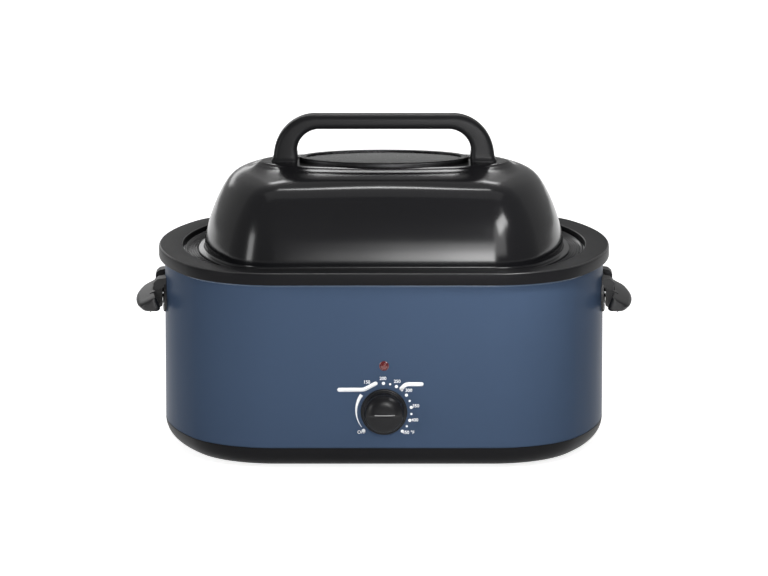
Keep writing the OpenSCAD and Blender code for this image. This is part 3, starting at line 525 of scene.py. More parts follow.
def circleTree():
    # copies of a shape on an arc in the XZ plane, each turned to face out from the centre
    tree, given, result = ruleTree("copiesOnArc", {
        "Shape": ("Object", None), "Count": ("Int", 6), "Radius": ("Float", 0.03),
        "First Angle": ("Float", 0.0), "Step Angle": ("Float", 0.5), "Centre": ("Vector", (0, 0, 0))})
    line = addNode(tree, "GeometryNodeMeshLine", {"Count": given["Count"], "Offset": (0, 0, 0)})
    index = addNode(tree, "GeometryNodeInputIndex")[0]
    turned = mathNode(tree, "MULTIPLY", index, given["Step Angle"])
    angle = mathNode(tree, "ADD", turned, given["First Angle"])
    across, up = (mathNode(tree, "MULTIPLY", mathNode(tree, rule, angle), given["Radius"])
                  for rule in ("COSINE", "SINE"))
    where = addNode(tree, "ShaderNodeCombineXYZ", {"X": across, "Z": up})
    centred = addNode(tree, "ShaderNodeVectorMath", {0: where["Vector"], 1: given["Centre"]}, operation="ADD")
    place = addNode(tree, "GeometryNodeSetPosition", {
        "Geometry": line["Mesh"], "Position": centred["Vector"]})
    facing = addNode(tree, "FunctionNodeAxisAngleToRotation", {"Axis": (0, -1, 0), "Angle": angle})
    copies = copiesOf(tree, given["Shape"], place["Geometry"], facing["Rotation"])
    return closeTree(tree, given, result, copies)


def crossWireTree():
    # straight wires side by side, each as long as the rounded frame leaves room for
    tree, given, result = ruleTree("crossWires", {
        "Count": ("Int", 21), "Spacing": ("Float", 0.015), "Height": ("Float", 0.07),
        "Half Depth": ("Float", 0.14), "Half Straight": ("Float", 0.13), "Corner Radius": ("Float", 0.05),
        "Wire Radius": ("Float", 0.0015)})

    def rule(operation, *values):
        return mathNode(tree, operation, *values)

    gaps = rule("SUBTRACT", given["Count"], 1)
    first = addNode(tree, "ShaderNodeCombineXYZ", {
        "X": rule("MULTIPLY", rule("MULTIPLY", gaps, given["Spacing"]), -0.5), "Z": given["Height"]})
    offset = addNode(tree, "ShaderNodeCombineXYZ", {"X": given["Spacing"]})
    line = addNode(tree, "GeometryNodeMeshLine", {
        "Count": given["Count"], "Start Location": first["Vector"], "Offset": offset["Vector"]})
    where = addNode(tree, "GeometryNodeInputPosition")["Position"]
    across = rule("ABSOLUTE", addNode(tree, "ShaderNodeSeparateXYZ", {"Vector": where})["X"])
    past = rule("MAXIMUM", rule("SUBTRACT", across, given["Half Straight"]), 0.0)
    radius = given["Corner Radius"]
    square = rule("SUBTRACT", rule("MULTIPLY", radius, radius), rule("MULTIPLY", past, past))
    drop = rule("SUBTRACT", radius, rule("SQRT", rule("MAXIMUM", square, 0.0)))
    stretch = addNode(tree, "ShaderNodeCombineXYZ", {
        "X": 1, "Y": rule("SUBTRACT", given["Half Depth"], drop), "Z": 1})
    rod = addNode(tree, "GeometryNodeCurvePrimitiveLine", {"Start": (0, -1, 0), "End": (0, 1, 0)})
    ring = addNode(tree, "GeometryNodeCurvePrimitiveCircle", {
        "Resolution": 14, "Radius": given["Wire Radius"]})
    tube = addNode(tree, "GeometryNodeCurveToMesh", {
        "Curve": rod["Curve"], "Profile Curve": ring["Curve"], "Fill Caps": True})
    copies = addNode(tree, "GeometryNodeInstanceOnPoints", {
        "Points": line["Mesh"], "Instance": tube["Mesh"], "Scale": stretch["Vector"]})
    return closeTree(tree, given, result, copies)


onPoints, onArc, acrossRack = copiesTree(), circleTree(), crossWireTree()

# painted wall: a front and a rear half; bead rows give the share of its depth and the height in mm
wall = {"sheet": 1.2 * mm, "beadOut": 1.4 * mm, "beadHeight": 3.0 * mm, "hem": 1.0 * mm, "seam": 0.3 * mm,
        "beadRows": [(-0.3, 0.15), (-0.85, 0.6), (-1, 0.95), (-0.95, 1.4), (-0.75, 2.3), (-0.4, 2.8)]}
rimLow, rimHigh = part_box("rim_trim")


def keepHalf(piece, side):
    # cuts a ring at the seams in the middle of its ends, and closes the cuts
    work = bmesh.new()
    work.from_mesh(piece.data)
    cut = bmesh.ops.bisect_plane(
        work, geom=work.verts[:] + work.edges[:] + work.faces[:], dist=1e-7,
        plane_co=(0, side * wall["seam"] / 2, 0), plane_no=(0, -side, 0), clear_outer=True)
    edges = [part for part in cut["geom_cut"] if isinstance(part, bmesh.types.BMEdge)]
    bmesh.ops.holes_fill(work, edges=edges)
    bmesh.ops.recalc_face_normals(work, faces=work.faces)
    work.to_mesh(piece.data)
    work.free()


def paintedWall():
    low, high, bead, sheet = wallLow.z, wallHigh.z, wall["beadOut"], wall["sheet"]
    under = rimLow.z                       # the rim's lower edge covers the wall from here up
    foot, margin = under - wall["beadHeight"], 0.1 * mm
    profile = [(wall["hem"], low), *beside(0, low, (0.3, 0.4), (0, 1.4)), (0, foot),
               *[(part * bead, foot + up * mm) for part, up in wall["beadRows"]],
               (0, under), (0, high), (sheet, high), (sheet, low)]
    for side, label in ((-1, "front"), (1, "rear")):
        piece = aroundPlan(label + "Wrap", profile, paint["bluePaint"], sharp=50)
        keepHalf(piece, side)
        # the bead's faces get the lighter, glossier blue: a painted highlight line under the rim
        paintPart(piece, paint["blueBeadHighlight"], lambda middle, normal: foot + margin < middle.z < under - margin)
        settle(piece, "root", "blue_paint", label + "_wrap")


paintedWall()
print("wall made")

# base
base = {"edge": 24 * mm, "thick": 2.4 * mm, "floorIn": 68 * mm, "upstand": 9 * mm, "groove": 0.8 * mm}
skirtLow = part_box("base_skirt")[0]


def skirt():
    low, top, edge, thick, sheet = skirtLow.z, wallLow.z, base["edge"], base["thick"], wall["sheet"]
    profile = [(base["floorIn"], low), *arc(edge, low + edge, edge, 270, 180, 16),
               (0, top - 1.6 * mm), (base["groove"], top - 0.6 * mm), (base["groove"], top), (sheet, top),
               (sheet, top + base["upstand"]), (sheet + thick, top + base["upstand"]), (sheet + thick, top),
               *arc(edge, low + edge, edge - thick, 180, 270, 12), (base["floorIn"], low + thick)]
    piece = aroundPlan("baseSkirt", profile, paint["blackMoulding"], sharp=50)
    settle(piece, "root", "black_moulding", "base_skirt")


skirt()

# rim
rim = {"over": 7.5 * mm, "flat": 30 * mm, "skirt": 3.6 * mm, "soft": 2.0 * mm, "bevel": 3.4 * mm,
       "lean": 0.35 * mm, "plate": 3.4 * mm, "lip": 2.4 * mm, "recess": 9 * mm, "inner": 1.4 * mm}
rimIn = rim["flat"] - rim["over"]
flangeTop = rimHigh.z - rim["recess"]


def rimTrim():
    low, high, soft, inner = rimLow.z, rimHigh.z, rim["soft"], rim["inner"]
    outer, lipIn, plateZ = -rim["over"], rimIn - rim["lip"], high - rim["plate"]
    leaning = outer + rim["lean"]
    profile = [*beside(outer, low, (1.2, 0), (0.3, 0.35), (0, 1.2)),
               (outer, high - rim["bevel"]), (leaning, high - inner),
               *arc(leaning + soft, high - soft, soft, 168, 90, 8),
               *arc(rimIn - inner, high - inner, inner, 90, 0, 6),
               (rimIn, flangeTop), (lipIn, flangeTop), (lipIn, plateZ),
               (rim["skirt"] + outer, plateZ), (rim["skirt"] + outer, low)]
    piece = aroundPlan("rimTrim", profile, paint["blackMoulding"], sharp=50)
    edgeZ = high - soft - 0.2 * mm
    # the rounded top edge gets the lighter, glossier black: a painted highlight line along the rim
    paintPart(piece, paint["rimEdgeHighlight"], lambda middle, normal: middle.z > edgeZ and 0.2 < normal.z < 0.97)
    settle(piece, "root", "black_moulding", "rim_trim")


rimTrim()

# heating well and roasting pan
well = {"inset": 47 * mm, "draft": 6 * mm, "edge": 22 * mm, "sheet": 1.0 * mm}
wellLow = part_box("heating_well")[0]
wellFloor = wellLow.z + well["sheet"]
slope = well["draft"] / (flangeTop - wellFloor)
pan = {"gap": 6 * mm, "sheet": 1.2 * mm, "edge": 20 * mm, "side": 2 * mm, "bead": 3.6 * mm,
       "ribs": 4, "ribPitch": 3.1 * mm, "ribHalf": 1.0 * mm, "ribHigh": 1.3 * mm, "ribSteps": 6}
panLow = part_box("roasting_pan")[0]


def heatingWell():
    edge, sheet, inset = well["edge"], well["sheet"], well["inset"]
    foot = inset + (flangeTop - wellFloor - edge) * slope
    flangeZ = flangeTop - sheet
    profile = [*arc(foot + edge, wellFloor + edge, edge + sheet, 270, 180, 12),
               (inset - sheet + 5 * mm * slope, flangeZ - 5 * mm), (inset - sheet - 3 * mm, flangeZ),
               (0.2 * mm, flangeZ), (0.2 * mm, flangeTop),
               *beside(inset, flangeTop, (-3, 0), (-0.9, -0.8), (0, -3)),
               *arc(foot + edge, wellFloor + edge, edge, 180, 270, 12)]
    piece = aroundPlan("heatingWell", profile, steel["wellSteel"], looped=False)
    settle(piece, "root", "coated_steel", "heating_well")


def flangeRibs(start, top):
    # shallow ribs that run round the pan's edge
    half, high, steps = pan["ribHalf"], pan["ribHigh"], pan["ribSteps"]
    middles = [start + k * pan["ribPitch"] for k in range(pan["ribs"])]
    angles = [math.pi * s / steps for s in range(steps + 1)]
    return [(middle - half * math.cos(a), top + high * math.sin(a)) for middle in middles for a in angles]


def roastingPan():
    edge, sheet, floor, bead = pan["edge"], pan["sheet"], panLow.z, pan["bead"] / 2
    inset, brim, top = well["inset"] + pan["gap"], rimIn + pan["side"], flangeTop + pan["sheet"]
    foot = inset + (flangeTop - floor - edge) * slope
    inner = brim + 2 * bead
    profile = [*arc(foot + edge, floor + edge, edge, 270, 180, 12),
               (inset + 4 * mm * slope, flangeTop - 4 * mm), (inset - 3 * mm, flangeTop), (inner, flangeTop),
               *arc(brim + bead, flangeTop + bead, bead, 270, 60, 14), (inner + 1.0 * mm, top),
               *flangeRibs(inner + 2.4 * mm, top), *beside(inset, top, (-2, 0), (-0.2, -0.8)),
               (inset + sheet, flangeTop - 4 * mm),
               *arc(foot + edge, floor + edge, edge - sheet, 180, 270, 12)]
    piece = aroundPlan("roastingPan", profile, paint["panEnamel"], looped=False)
    settle(piece, "pan", "pan_enamel", "roasting_pan")


heatingWell()
roastingPan()
print("well and pan made")

# rack
rack = {"wire": 5 * mm, "crossWire": 3 * mm, "spacing": 15 * mm, "loopHeight": 70 * mm, "loopWidth": 90 * mm,
        "loopBend": 12 * mm, "footIn": 10 * mm, "endGap": 45 * mm}


def wireTube(path, radius, closed=False, sides=12):
    rings = []
    count = len(path)
    for k, p in enumerate(path):
        before = path[k - 1] if closed or k else p
        after = path[(k + 1) % count] if closed or k < count - 1 else p
        along = (after - before).normalized()
        side = along.cross(Vector((0, 0, 1)) if abs(along.z) < 0.9 else Vector((1, 0, 0))).normalized()
        over = side.cross(along)
        rings.append([p + side * c.x + over * c.y for c in circle(radius, 0, sides)])
    return skin(rings, looped=closed)


def wireRack():
    low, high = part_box("wire_rack")
    wire, inset = rack["wire"] / 2, halfW - high.x
    frameZ = high.z - rack["loopHeight"] - wire
    parts = [wireTube(ringAt(inset + wire, frameZ), wire, closed=True)]
    half, top, bend = rack["loopWidth"] / 2, high.z - wire, rack["loopBend"]
    endArc = endR - inset - wire
    loopX = high.x - wire - (endArc - math.sqrt(endArc ** 2 - half ** 2)) / 2
    corners = [(-half, frameZ), (-half, top), (half, top), (half, frameZ)]
    for side in (-1, 1):
        loop = [Vector((side * loopX, y, z)) for y, z in rounded(corners, bend, steps=8, closed=False)]
        parts.append(wireTube(loop, wire))
        parts.append(wireLeg(side * (high.x - wire), 0, low.z, frameZ, wire))
    for sx, sy in quarters:
        x, y = sx * (halfStraight - rack["footIn"]), sy * (halfD - inset - wire)
        parts.append(wireLeg(x, y, low.z, frameZ, wire))
    settle(makePiece("rackFrame", joined(*parts), steel["chromedWire"]), "rack", "chromed_wire", "wire_rack")
    wires = runTree("rackWires", acrossRack, steel["chromedWire"], {
        "Count": 2 * int((halfW - inset - rack["endGap"]) / rack["spacing"]) + 1, "Spacing": rack["spacing"],
        "Height": frameZ + wire, "Half Depth": halfD - inset - wire, "Half Straight": halfStraight,
        "Corner Radius": cornerR - inset, "Wire Radius": rack["crossWire"] / 2})
    settle(wires, "rack", "chromed_wire")


def wireLeg(x, y, low, high, radius):
    return wireTube([Vector((x, y, low)), Vector((x, y, high))], radius)


wireRack()
print("rack made")

# lid; shoulder rows give the share of its run, of its rise and of an ellipse,
# crown rows how much wider and deeper than the crown and how far under its top, in mm
lid = {"inset": 50 * mm, "sheet": 1.2 * mm, "brim": 8 * mm, "brimR": 1.4 * mm, "shoulder": 56 * mm,
       "wallFoot": 5 * mm, "crownHalfW": 157 * mm, "crownHalfD": 63 * mm, "crownRise": 3.4 * mm,
       "domeFall": 5 * mm, "midFall": 0.38, "midShare": 0.68, "crownShare": 0.8, "blendSteps": 6,
       "shoulderRows": [(0, 0, 0), (0.01, 0.10, 0), (0.07, 0.25, 0), (0.145, 0.40, 0), (0.26, 0.57, 0),
                        (0.37, 0.70, 0.02), (0.46, 0.79, 0.04), (0.55, 0.86, 0.08), (0.67, 0.922, 0.16),
                        (0.82, 0.968, 0.34), (1, 1, 0.58)],
       "crownRows": [(3.2, 14, 3.3), (1.2, 6, 2.1), (-0.8, -0.5, 0.75), (-3.2, -5, 0.12), (-7, -8, 0)]}
glassEdge = {"halfW": 97 * mm, "halfD": 46 * mm, "lap": 3.4 * mm, "bezel": 9 * mm, "bezelR": 2.2 * mm,
             "bulge": [(0.02, 1.0), (0.35, 0.9), (0.7, 0.5), (0.95, 0.05)]}
lidLow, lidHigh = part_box("lid_shell")


def ovalised(inset, w, d, share, z):
    # outline at an inset, scaled to a width and depth and drawn towards an ellipse by a share
    fromW, fromD = halfW - inset, halfD - inset
    result = []
    for x, y in outline(inset):
        t = math.atan2(y / fromD, x / fromW)
        result.append(Vector(((1 - share) * x * w / fromW + share * w * math.cos(t),
                              (1 - share) * y * d / fromD + share * d * math.sin(t), z)))
    return result


def blendRings(rings, steps):
    rows = [[c for p in ring for c in p] for ring in rings]
    return [[Vector(row[k:k + 3]) for k in range(0, len(row), 3)] for row in catmull(rows, steps)]


def lidShell():
    foot, top, inset, brimR = lidLow.z, lidHigh.z, lid["inset"], lid["brimR"]
    crownZ, wallZ, domeIn = top - lid["crownRise"], foot + lid["wallFoot"], inset + lid["shoulder"]
    rise = crownZ - lid["domeFall"] - wallZ
    w, d, share = lid["crownHalfW"], lid["crownHalfD"], lid["crownShare"]
    edge = arc(inset - lid["brim"] + brimR, foot + brimR + 0.1 * mm, brimR, 270, 90, 6)
    brim = [ringAt(x, z) for x, z in edge + beside(inset, foot, (-2.2, 2.9), (-0.7, 3.4))]
    rings = []
    for run, up, oval in lid["shoulderRows"]:
        at = inset + run * lid["shoulder"]
        rings.append(ovalised(at, halfW - at, halfD - at, oval, wallZ + up * rise))
    rings.append(ovalised(domeIn, (w + halfW - domeIn) / 2, (d + halfD - domeIn) / 2, lid["midShare"],
                          crownZ - lid["domeFall"] * lid["midFall"]))
    for wider, deeper, down in lid["crownRows"]:
        rings.append(ovalised(domeIn, w + wider * mm, d + deeper * mm, share, top - down * mm))
    hole = ovalised(domeIn, glassEdge["halfW"] - 3 * mm, glassEdge["halfD"] - 3 * mm, 1, top)
    shape = skin(brim + blendRings(rings, lid["blendSteps"]) + [hole], caps=False)
    piece = makePiece("lidShell", shape, paint["lidEnamel"], sharp=60)
    facesOut(piece)
    thicken(piece, lid["sheet"])
    settle(piece, "lid", "lid_enamel", "lid_shell")


def facesOut(piece):
    # an open sheet has no inside, so a face of the outer wall decides which way it faces
    wallFace = min(piece.data.polygons, key=lambda face: abs(face.center.z - (lidLow.z + 40 * mm)))
    if wallFace.normal.dot(Vector((wallFace.center.x, wallFace.center.y, 0))) < 0:
        piece.data.flip_normals()


lidShell()
print("lid made")


# window
def ovalRing(out, z, share=1.0):
    w, d = glassEdge["halfW"] * share + out, glassEdge["halfD"] * share + out
    return [Vector((w * p.x, d * p.y, z)) for p in circle(1, 0, 128)]


def windowBezel():
    low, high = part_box("window_bezel")
    glassTop, wide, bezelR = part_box("window_glass")[1].z, glassEdge["bezel"], glassEdge["bezelR"]
    inner = glassEdge["lap"] + 0.2 * mm
    profile = [(inner, low.z), (wide, low.z), (wide, low.z + 1.5 * mm),
               *arc(wide - bezelR, high.z - bezelR, bezelR, 0, 90, 6),
               *beside(0, high.z, (1.6, 0), (0.5, -0.5), (0, -1.2)), (0, glassTop), (inner, glassTop)]
    shape = skin([ovalRing(out, z) for out, z in profile], looped=True)
    settle(makePiece("windowBezel", shape, steel["bezelSteel"]), "lid", "bezel_steel", "window_bezel")


def windowGlass():
    low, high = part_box("window_glass")
    rings = [ovalRing(0, low.z + up * mm, share) for share, up in glassEdge["bulge"]]
    rings += [ovalRing(glassEdge["lap"], z) for z in (low.z, high.z)]
    rings += [ovalRing(0, high.z + up * mm, share) for share, up in reversed(glassEdge["bulge"])]
    piece = makePiece("windowGlass", skin(rings), windowClear, sharp=60)
    settle(piece, "lid", "window_glass", "window_glass")


windowBezel()
windowGlass()

# lid handle; foot rows give in mm how far out and up, and how much wider and deeper than the leg
lidHandle = {"legX": 123 * mm, "legW": 30 * mm, "barH": 18.4 * mm, "barD": 27 * mm, "bend": 40 * mm,
             "bendSteps": 22, "edgeRound": 7.5 * mm, "topGap": 0.1 * mm,
             "footRows": [(1.5, 0, 1.5, 3), (1.5, 0.9, 1.5, 3), (1.3, 1.8, 1.2, 2.6), (0.7, 3.2, 0.8, 1.8),
                          (0.2, 5.6, 0.2, 1.2)]}


def lidHandleLoft():
    low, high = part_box("lid_handle")
    legX, legW, barH, barD, bend, steps = (
        lidHandle[k] for k in ("legX", "legW", "barH", "barD", "bend", "bendSteps"))
    bendX, bendZ = legX - bend, high.z - lidHandle["topGap"] - barH / 2 - bend
    # stops along the handle: place, heading, half width and half depth
    stops = [(-legX - out * mm, low.z + up * mm, 90, legW / 2 + wider * mm, barD / 2 + deeper * mm)
             for out, up, wider, deeper in lidHandle["footRows"]]
    for k in range(steps + 1):
        share = k / steps
        a = math.radians(180 - 90 * share)
        stops.append((-bendX + bend * math.cos(a), bendZ + bend * math.sin(a), 90 - 90 * share,
                      legW / 2 + (barH - legW) / 2 * share ** 0.8, barD / 2 + (1 - share) * mm))
    stops += [(-s[0], s[1], -s[2], s[3], s[4]) for s in reversed(stops)]
    rings = []
    for x, z, heading, wide, deep in stops:
        a = math.radians(heading)
        corners = [(-wide, -deep), (wide, -deep), (wide, deep), (-wide, deep)]
        rings.append([Vector((x + u * math.sin(a), v, z - u * math.cos(a)))
                      for u, v in rounded(corners, lidHandle["edgeRound"], steps=9)])
    piece = makePiece("lidHandle", skin(rings), paint["blackHandle"], sharp=50)
    settle(piece, "lid", "black_handle", "lid_handle")


lidHandleLoft()
print("window and lid handle made")

# side handles; taper rows give the share of the length and the share of the section
sideHandle = {"reach": 36.5 * mm, "bar": 21.5 * mm, "height": 27 * mm, "tilt": 27, "length": 148 * mm,
              "topZ": 200 * mm, "armY": 33 * mm, "armW": 14 * mm, "armH": 24 * mm, "armStart": 2.5 * mm,
              "bow": 2.4, "round": 2.6 * mm, "soft": 0.9 * mm, "endShare": 0.55,
              "taperRows": [(0, 1), (0.24, 1), (0.47, 1), (0.66, 1), (0.80, 1), (0.89, 0.97), (0.95, 0.89),
                            (0.985, 0.75), (1, 0.56)]}
bracket = {"plate": 3 * mm, "length": 94 * mm, "height": 43 * mm, "corner": 5 * mm, "hoodTop": 11 * mm,
           "hoodL": 24 * mm, "hoodReach": 13 * mm, "hoodDrop": 6 * mm, "hoodThick": 7 * mm, "lip": 2 * mm,
           "soft": 0.7 * mm, "steps": 24, "rivetInset": 6 * mm, "rivetUp": 12 * mm, "rivetR": 1.6 * mm}
gripIn = sideHandle["reach"] - sideHandle["bar"]


def handleTop(out):
    return sideHandle["topZ"] - out * math.tan(math.radians(sideHandle["tilt"]))


def gripSection():
    reach, low = sideHandle["reach"], sideHandle["topZ"] - sideHandle["height"]
    corners = [(gripIn - 3 * mm, low), *beside(reach, low, (-9, 0), (-5, 1.2), (-1, 5)),
               (reach, handleTop(reach) - 2.2 * mm), (reach - 3 * mm, handleTop(reach - 3 * mm)),
               (gripIn + 2 * mm, handleTop(gripIn + 2 * mm)), (gripIn, handleTop(gripIn) - 0.6 * mm),
               (gripIn - 6.5 * mm, low + 3 * mm)]
    return rounded(corners, sideHandle["round"])


def gripBar():
    section, taper = gripSection(), catmull(sideHandle["taperRows"], 4)
    midX = (gripIn + sideHandle["reach"]) / 2 - 2 * mm
    midZ = handleTop(gripIn + sideHandle["bar"] / 2) - 6 * mm
    rings = []
    for part, share in taper[::-1] + [(-part, share) for part, share in taper[1:]]:
        y = part * sideHandle["length"] / 2
        x = halfW - y * y / (sideHandle["bow"] * endR) + midX
        rings.append([Vector((x + (u - midX) * share, y, midZ + (w - midZ) * (1 + share) / 2))
                      for u, w in section])
    return skin([endRing(rings[0])] + rings + [endRing(rings[-1])])


def endRing(ring):
    # smaller ring just past the end, so that the grip closes softly
    centre = sum(ring, Vector()) / len(ring)
    past = Vector((0, math.copysign(0.5 * mm, centre.y), 0))
    return [centre + (p - centre) * sideHandle["endShare"] + past for p in ring]


def gripArms():
    start, inside = sideHandle["armStart"], gripIn + 3 * mm
    armH, half = sideHandle["armH"], sideHandle["armW"] / 2
    section = [(halfW + u, handleTop(u) - 0.3 * mm - drop)
               for u, drop in ((start, armH), (inside, armH), (inside, 0), (start, 0))]
    return joined(*[skin([[Vector((x, end * sideHandle["armY"] + y, z)) for x, z in section]
                          for y in (-half, half)]) for end in (-1, 1)])


def bracketShape():
    # curved wall plate with a hood over each arm
    top, half, steps, corner = (sideHandle["topZ"] + bracket["hoodTop"], bracket["length"] / 2,
                                bracket["steps"], bracket["corner"])
    low, plateTop = top - bracket["height"], top - bracket["hoodThick"] + 1 * mm
    rings = []
    for k in range(steps + 1):
        y = half - 2 * half * k / steps
        past = max(0.0, abs(y) - (half - corner))
        pull = corner - math.sqrt(max(corner ** 2 - past ** 2, 0))
        x, out = endWallX(y), endWallX(y, bracket["plate"])
        rings.append([Vector((x, y, low + pull)), Vector((out, y, low + pull)),
                      Vector((out, y, plateTop - pull)), Vector((x, y, plateTop - pull))])
    parts = [skin(rings)]
    reach, lip, inward = bracket["hoodReach"], bracket["lip"], -8 * mm
    lipZ = handleTop(reach - lip - 0.4 * mm) + 0.4 * mm
    section = rounded([
        (inward, handleTop(0) + 0.3 * mm), (inward, top), (reach - 5 * mm, top - 1.5 * mm),
        (reach, top - bracket["hoodDrop"]), (reach, lipZ), (reach - lip, lipZ)], 1.6 * mm, steps=3)
    for end in (-1, 1):
        sides = [end * sideHandle["armY"] + side * bracket["hoodL"] / 2 for side in (1, -1)]
        parts.append(skin([[Vector((max(halfW + u, endWallX(y) + 0.1 * mm), y, z)) for u, z in section]
                           for y in sides]))
    return joined(*parts)


def sideHandles():
    grip, plate = joined(gripBar(), gripArms()), bracketShape()
    for side, label in ((1, "right"), (-1, "left")):
        for name, node, (points, faces), soft, steps in (
                ("Grip", "_handle_grip", grip, sideHandle["soft"], 3),
                ("HandlePlate", "_handle_bracket", plate, bracket["soft"], 2)):
            placed = [Vector((side * p.x, p.y, p.z)) for p in points]
            piece = makePiece(label + name, (placed, faces), paint["blackGrip"], sharp=40)
            softenEdges(piece, soft, steps)
            settle(piece, "root", "black_handle", label + node)


def rivets():
    r, tip = bracket["rivetR"], 0.05 * mm
    head = lathe([(tip, -0.4 * mm), (2 * r, -0.4 * mm), (2 * r, 0), (1.9 * r, 0.5 * mm), (1.5 * r, 1.0 * mm),
                  (0.9 * r, 1.3 * mm), (tip, 1.4 * mm)], 32)
    lean = math.asin((bracket["length"] / 2 - bracket["rivetInset"]) / endR)
    out = endR + bracket["plate"]
    z = sideHandle["topZ"] + bracket["hoodTop"] - bracket["height"] + bracket["rivetUp"]
    spots = [(sx * (-endX + out * math.cos(lean)), sy * out * math.sin(lean), z) for sx, sy in quarters]
    aims = [(sx * math.cos(lean), sy * math.sin(lean), 0) for sx, sy in quarters]
    piece = repeat("bracketRivets", onPoints, head, steel["platedSteel"], {}, spots, aims)
    settle(piece, "root", "plated_steel", "bracket_rivets")


sideHandles()
rivets()
print("side handles made")

# screws and feet under the base
under = {"screwR": 2 * mm, "headR": 3.9 * mm, "headH": 2.2 * mm, "footR": 12 * mm, "spin": 0.4}


def cornerSpots(node, z):
    # middles of the four solids of a node, one in each quarter of the base
    spots = []
    for sx, sy in quarters:
        near = [v.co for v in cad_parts[node].data.vertices if v.co.x * sx > 0 and v.co.y * sy > 0]
        xs, ys = [p.x for p in near], [p.y for p in near]
        spots.append(((min(xs) + max(xs)) / 2, (min(ys) + max(ys)) / 2, z))
    return spots


def footScrews():
    low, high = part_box("foot_screws")
    r, h, thin, tip, seam = under["headR"], under["headH"], under["screwR"], 0.05 * mm, 0.01 * mm
    length = high.z - low.z - h
    body = lathe([(tip, 0), (0.8 * mm, 0), (thin, seam), (thin, length), (tip, length)], 24)
    dome = lathe([(tip, -h), (0.5 * r, -h + 0.05 * mm), (0.85 * r, -h * 0.75), (r, -h * 0.3), (r, seam),
                  (tip, seam)], 36)
    piece = repeat("footScrews", onPoints, joined(body, dome), steel["platedSteel"], {"Spin": under["spin"]},
                   cornerSpots("foot_screws", low.z + h), [(0, 0, 1)] * 4)
    settle(piece, "root", "plated_steel", "foot_screws")


def rubberFeet():
    low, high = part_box("rubber_feet")
    r, tall = under["footR"], high.z - low.z
    cup, hole = under["headR"] + 1 * mm, under["screwR"] + 0.2 * mm
    profile = [(cup, 0.0), *beside(r, 0, (-2.6, 0), (-1.8, 0.3), (-1.3, 1.0)),
               *beside(r, tall, (0, -0.4), (-0.2, 0)), (hole, tall), (hole, tall - 2 * mm),
               (cup, tall - 2 * mm)]
    foot = skin([circle(p, z, 48) for p, z in profile], looped=True)
    piece = repeat("rubberFeet", onPoints, foot, paint["blackRubber"], {},
                   cornerSpots("rubber_feet", low.z), [(0, 0, 1)] * 4)
    settle(piece, "root", "black_rubber", "rubber_feet")


footScrews()
rubberFeet()

# control; face rows give the share of the body's radius and how deep the ring sinks in mm
knobLow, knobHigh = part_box("control_knob")
knobZ = (knobLow.z + knobHigh.z) / 2
knob = {"bodyR": 24.3 * mm, "skirtT": 3 * mm, "edgeH": 15.5 * mm, "step": 3.4 * mm, "stepRun": 4.5 * mm,
        "crest": 1.6 * mm, "crestHalf": 1.2 * mm, "crestReach": 14 * mm, "domePower": 3.6, "steps": 128,
        "lineFrom": -11.3 * mm, "lineTo": 13.2 * mm, "lineHalf": 0.6 * mm, "lineSteps": 16,
        "ribs": 60, "ribR": 0.5 * mm,
        "faceRows": [(0.972, 2.0), (0.965, 1.0), (0.95, 0.35), (0.92, 0.08), (0.88, 0)]
        + [(0.84 - 0.03 * k, 0) for k in range(28)]}
knobR, knobBack = knobHigh.z - knobZ, front - knobHigh.y
knobDeep = front - knobLow.y - 0.1 * mm


def knobFace(x, y):
    # upper half a flat dome, lower half stepped back, and a crest between them that points at the dial
    out = min(math.hypot(x, y) / knob["bodyR"], 1)
    back = min(max(-y / knob["stepRun"], 0), 1)
    top = knobDeep - knob["crest"] - knob["step"] * back * back * (3 - 2 * back)
    crest = knob["crest"] * math.exp(-(y / knob["crestHalf"]) ** 2) * math.exp(-(x / knob["crestReach"]) ** 4)
    return knob["edgeH"] + (top - knob["edgeH"]) * (1 - out ** knob["domePower"]) + crest


def controlKnob():
    body, top = knob["bodyR"], knobBack + knob["skirtT"]
    disc = [(12 * mm, knobBack), (knobR - 0.6 * mm, knobBack), (knobR, knobBack + 0.6 * mm),
            *beside(knobR, top, (0, -0.9), (-0.7, 0), (-2.0, 0.1), (-2.4, 1.4), (-3.0, 1.9)),
            *beside(body, top, (0.4, 2.0), (0, 2.6)), (body - 0.6 * mm, knob["edgeH"] - 3 * mm)]
    rings = [circle(r, z, knob["steps"]) for r, z in disc]
    for share, down in knob["faceRows"]:
        rings.append([Vector((p.x, p.y, knobFace(p.x, p.y) - down * mm))
                      for p in circle(body * share, 0, knob["steps"])])
    piece = makePiece("controlKnob", ontoFront(skin(rings), knobZ), paint["blackKnob"], sharp=50)
    settle(piece, "knob", "black_handle", "control_knob")


def knobRibs():
    # fine ribs around the skirt, for the fingers
    r, tall, tip = knob["ribR"], knob["skirtT"] - 1.6 * mm, 0.02 * mm
    half = [(tip, tall / 2 + r), (r * 0.7, tall / 2 + r * 0.7), (r, tall / 2)]
    points, faces = lathe([(p, -h) for p, h in half] + half[::-1], 8)
    rib = [Vector((p.x, p.z, p.y)) for p in points], faces
    middle = front - knobBack - knob["skirtT"] / 2 + 0.1 * mm
    piece = repeat("knobRibs", onArc, rib, paint["blackKnob"], {
        "Count": knob["ribs"], "Radius": knobR - r * 0.9, "First Angle": 0.0,
        "Step Angle": fullTurn / knob["ribs"], "Centre": (0, middle, knobZ)})
    settle(piece, "knob", "black_handle")


def knobPointer():
    # pointer line along the crest, light grey as a painted highlight of the crest
    wide, steps, start = knob["lineHalf"], knob["lineSteps"], knob["lineFrom"]
    corners = beside(0, 0, (-1, -0.5), (1, -0.5), (1, -0.1), (0, 0.06), (-1, -0.1))
    rings = []
    for k in range(steps + 1):
        x = start + (knob["lineTo"] - start) * k / steps
        rings.append([Vector((x, y / mm * wide, knobFace(x, 0) + lift)) for y, lift in corners])
    piece = makePiece("knobPointer", ontoFront(skin(rings), knobZ), paint["crestHighlightGrey"])
    settle(piece, "knob", "black_handle")


controlKnob()
knobRibs()
knobPointer()


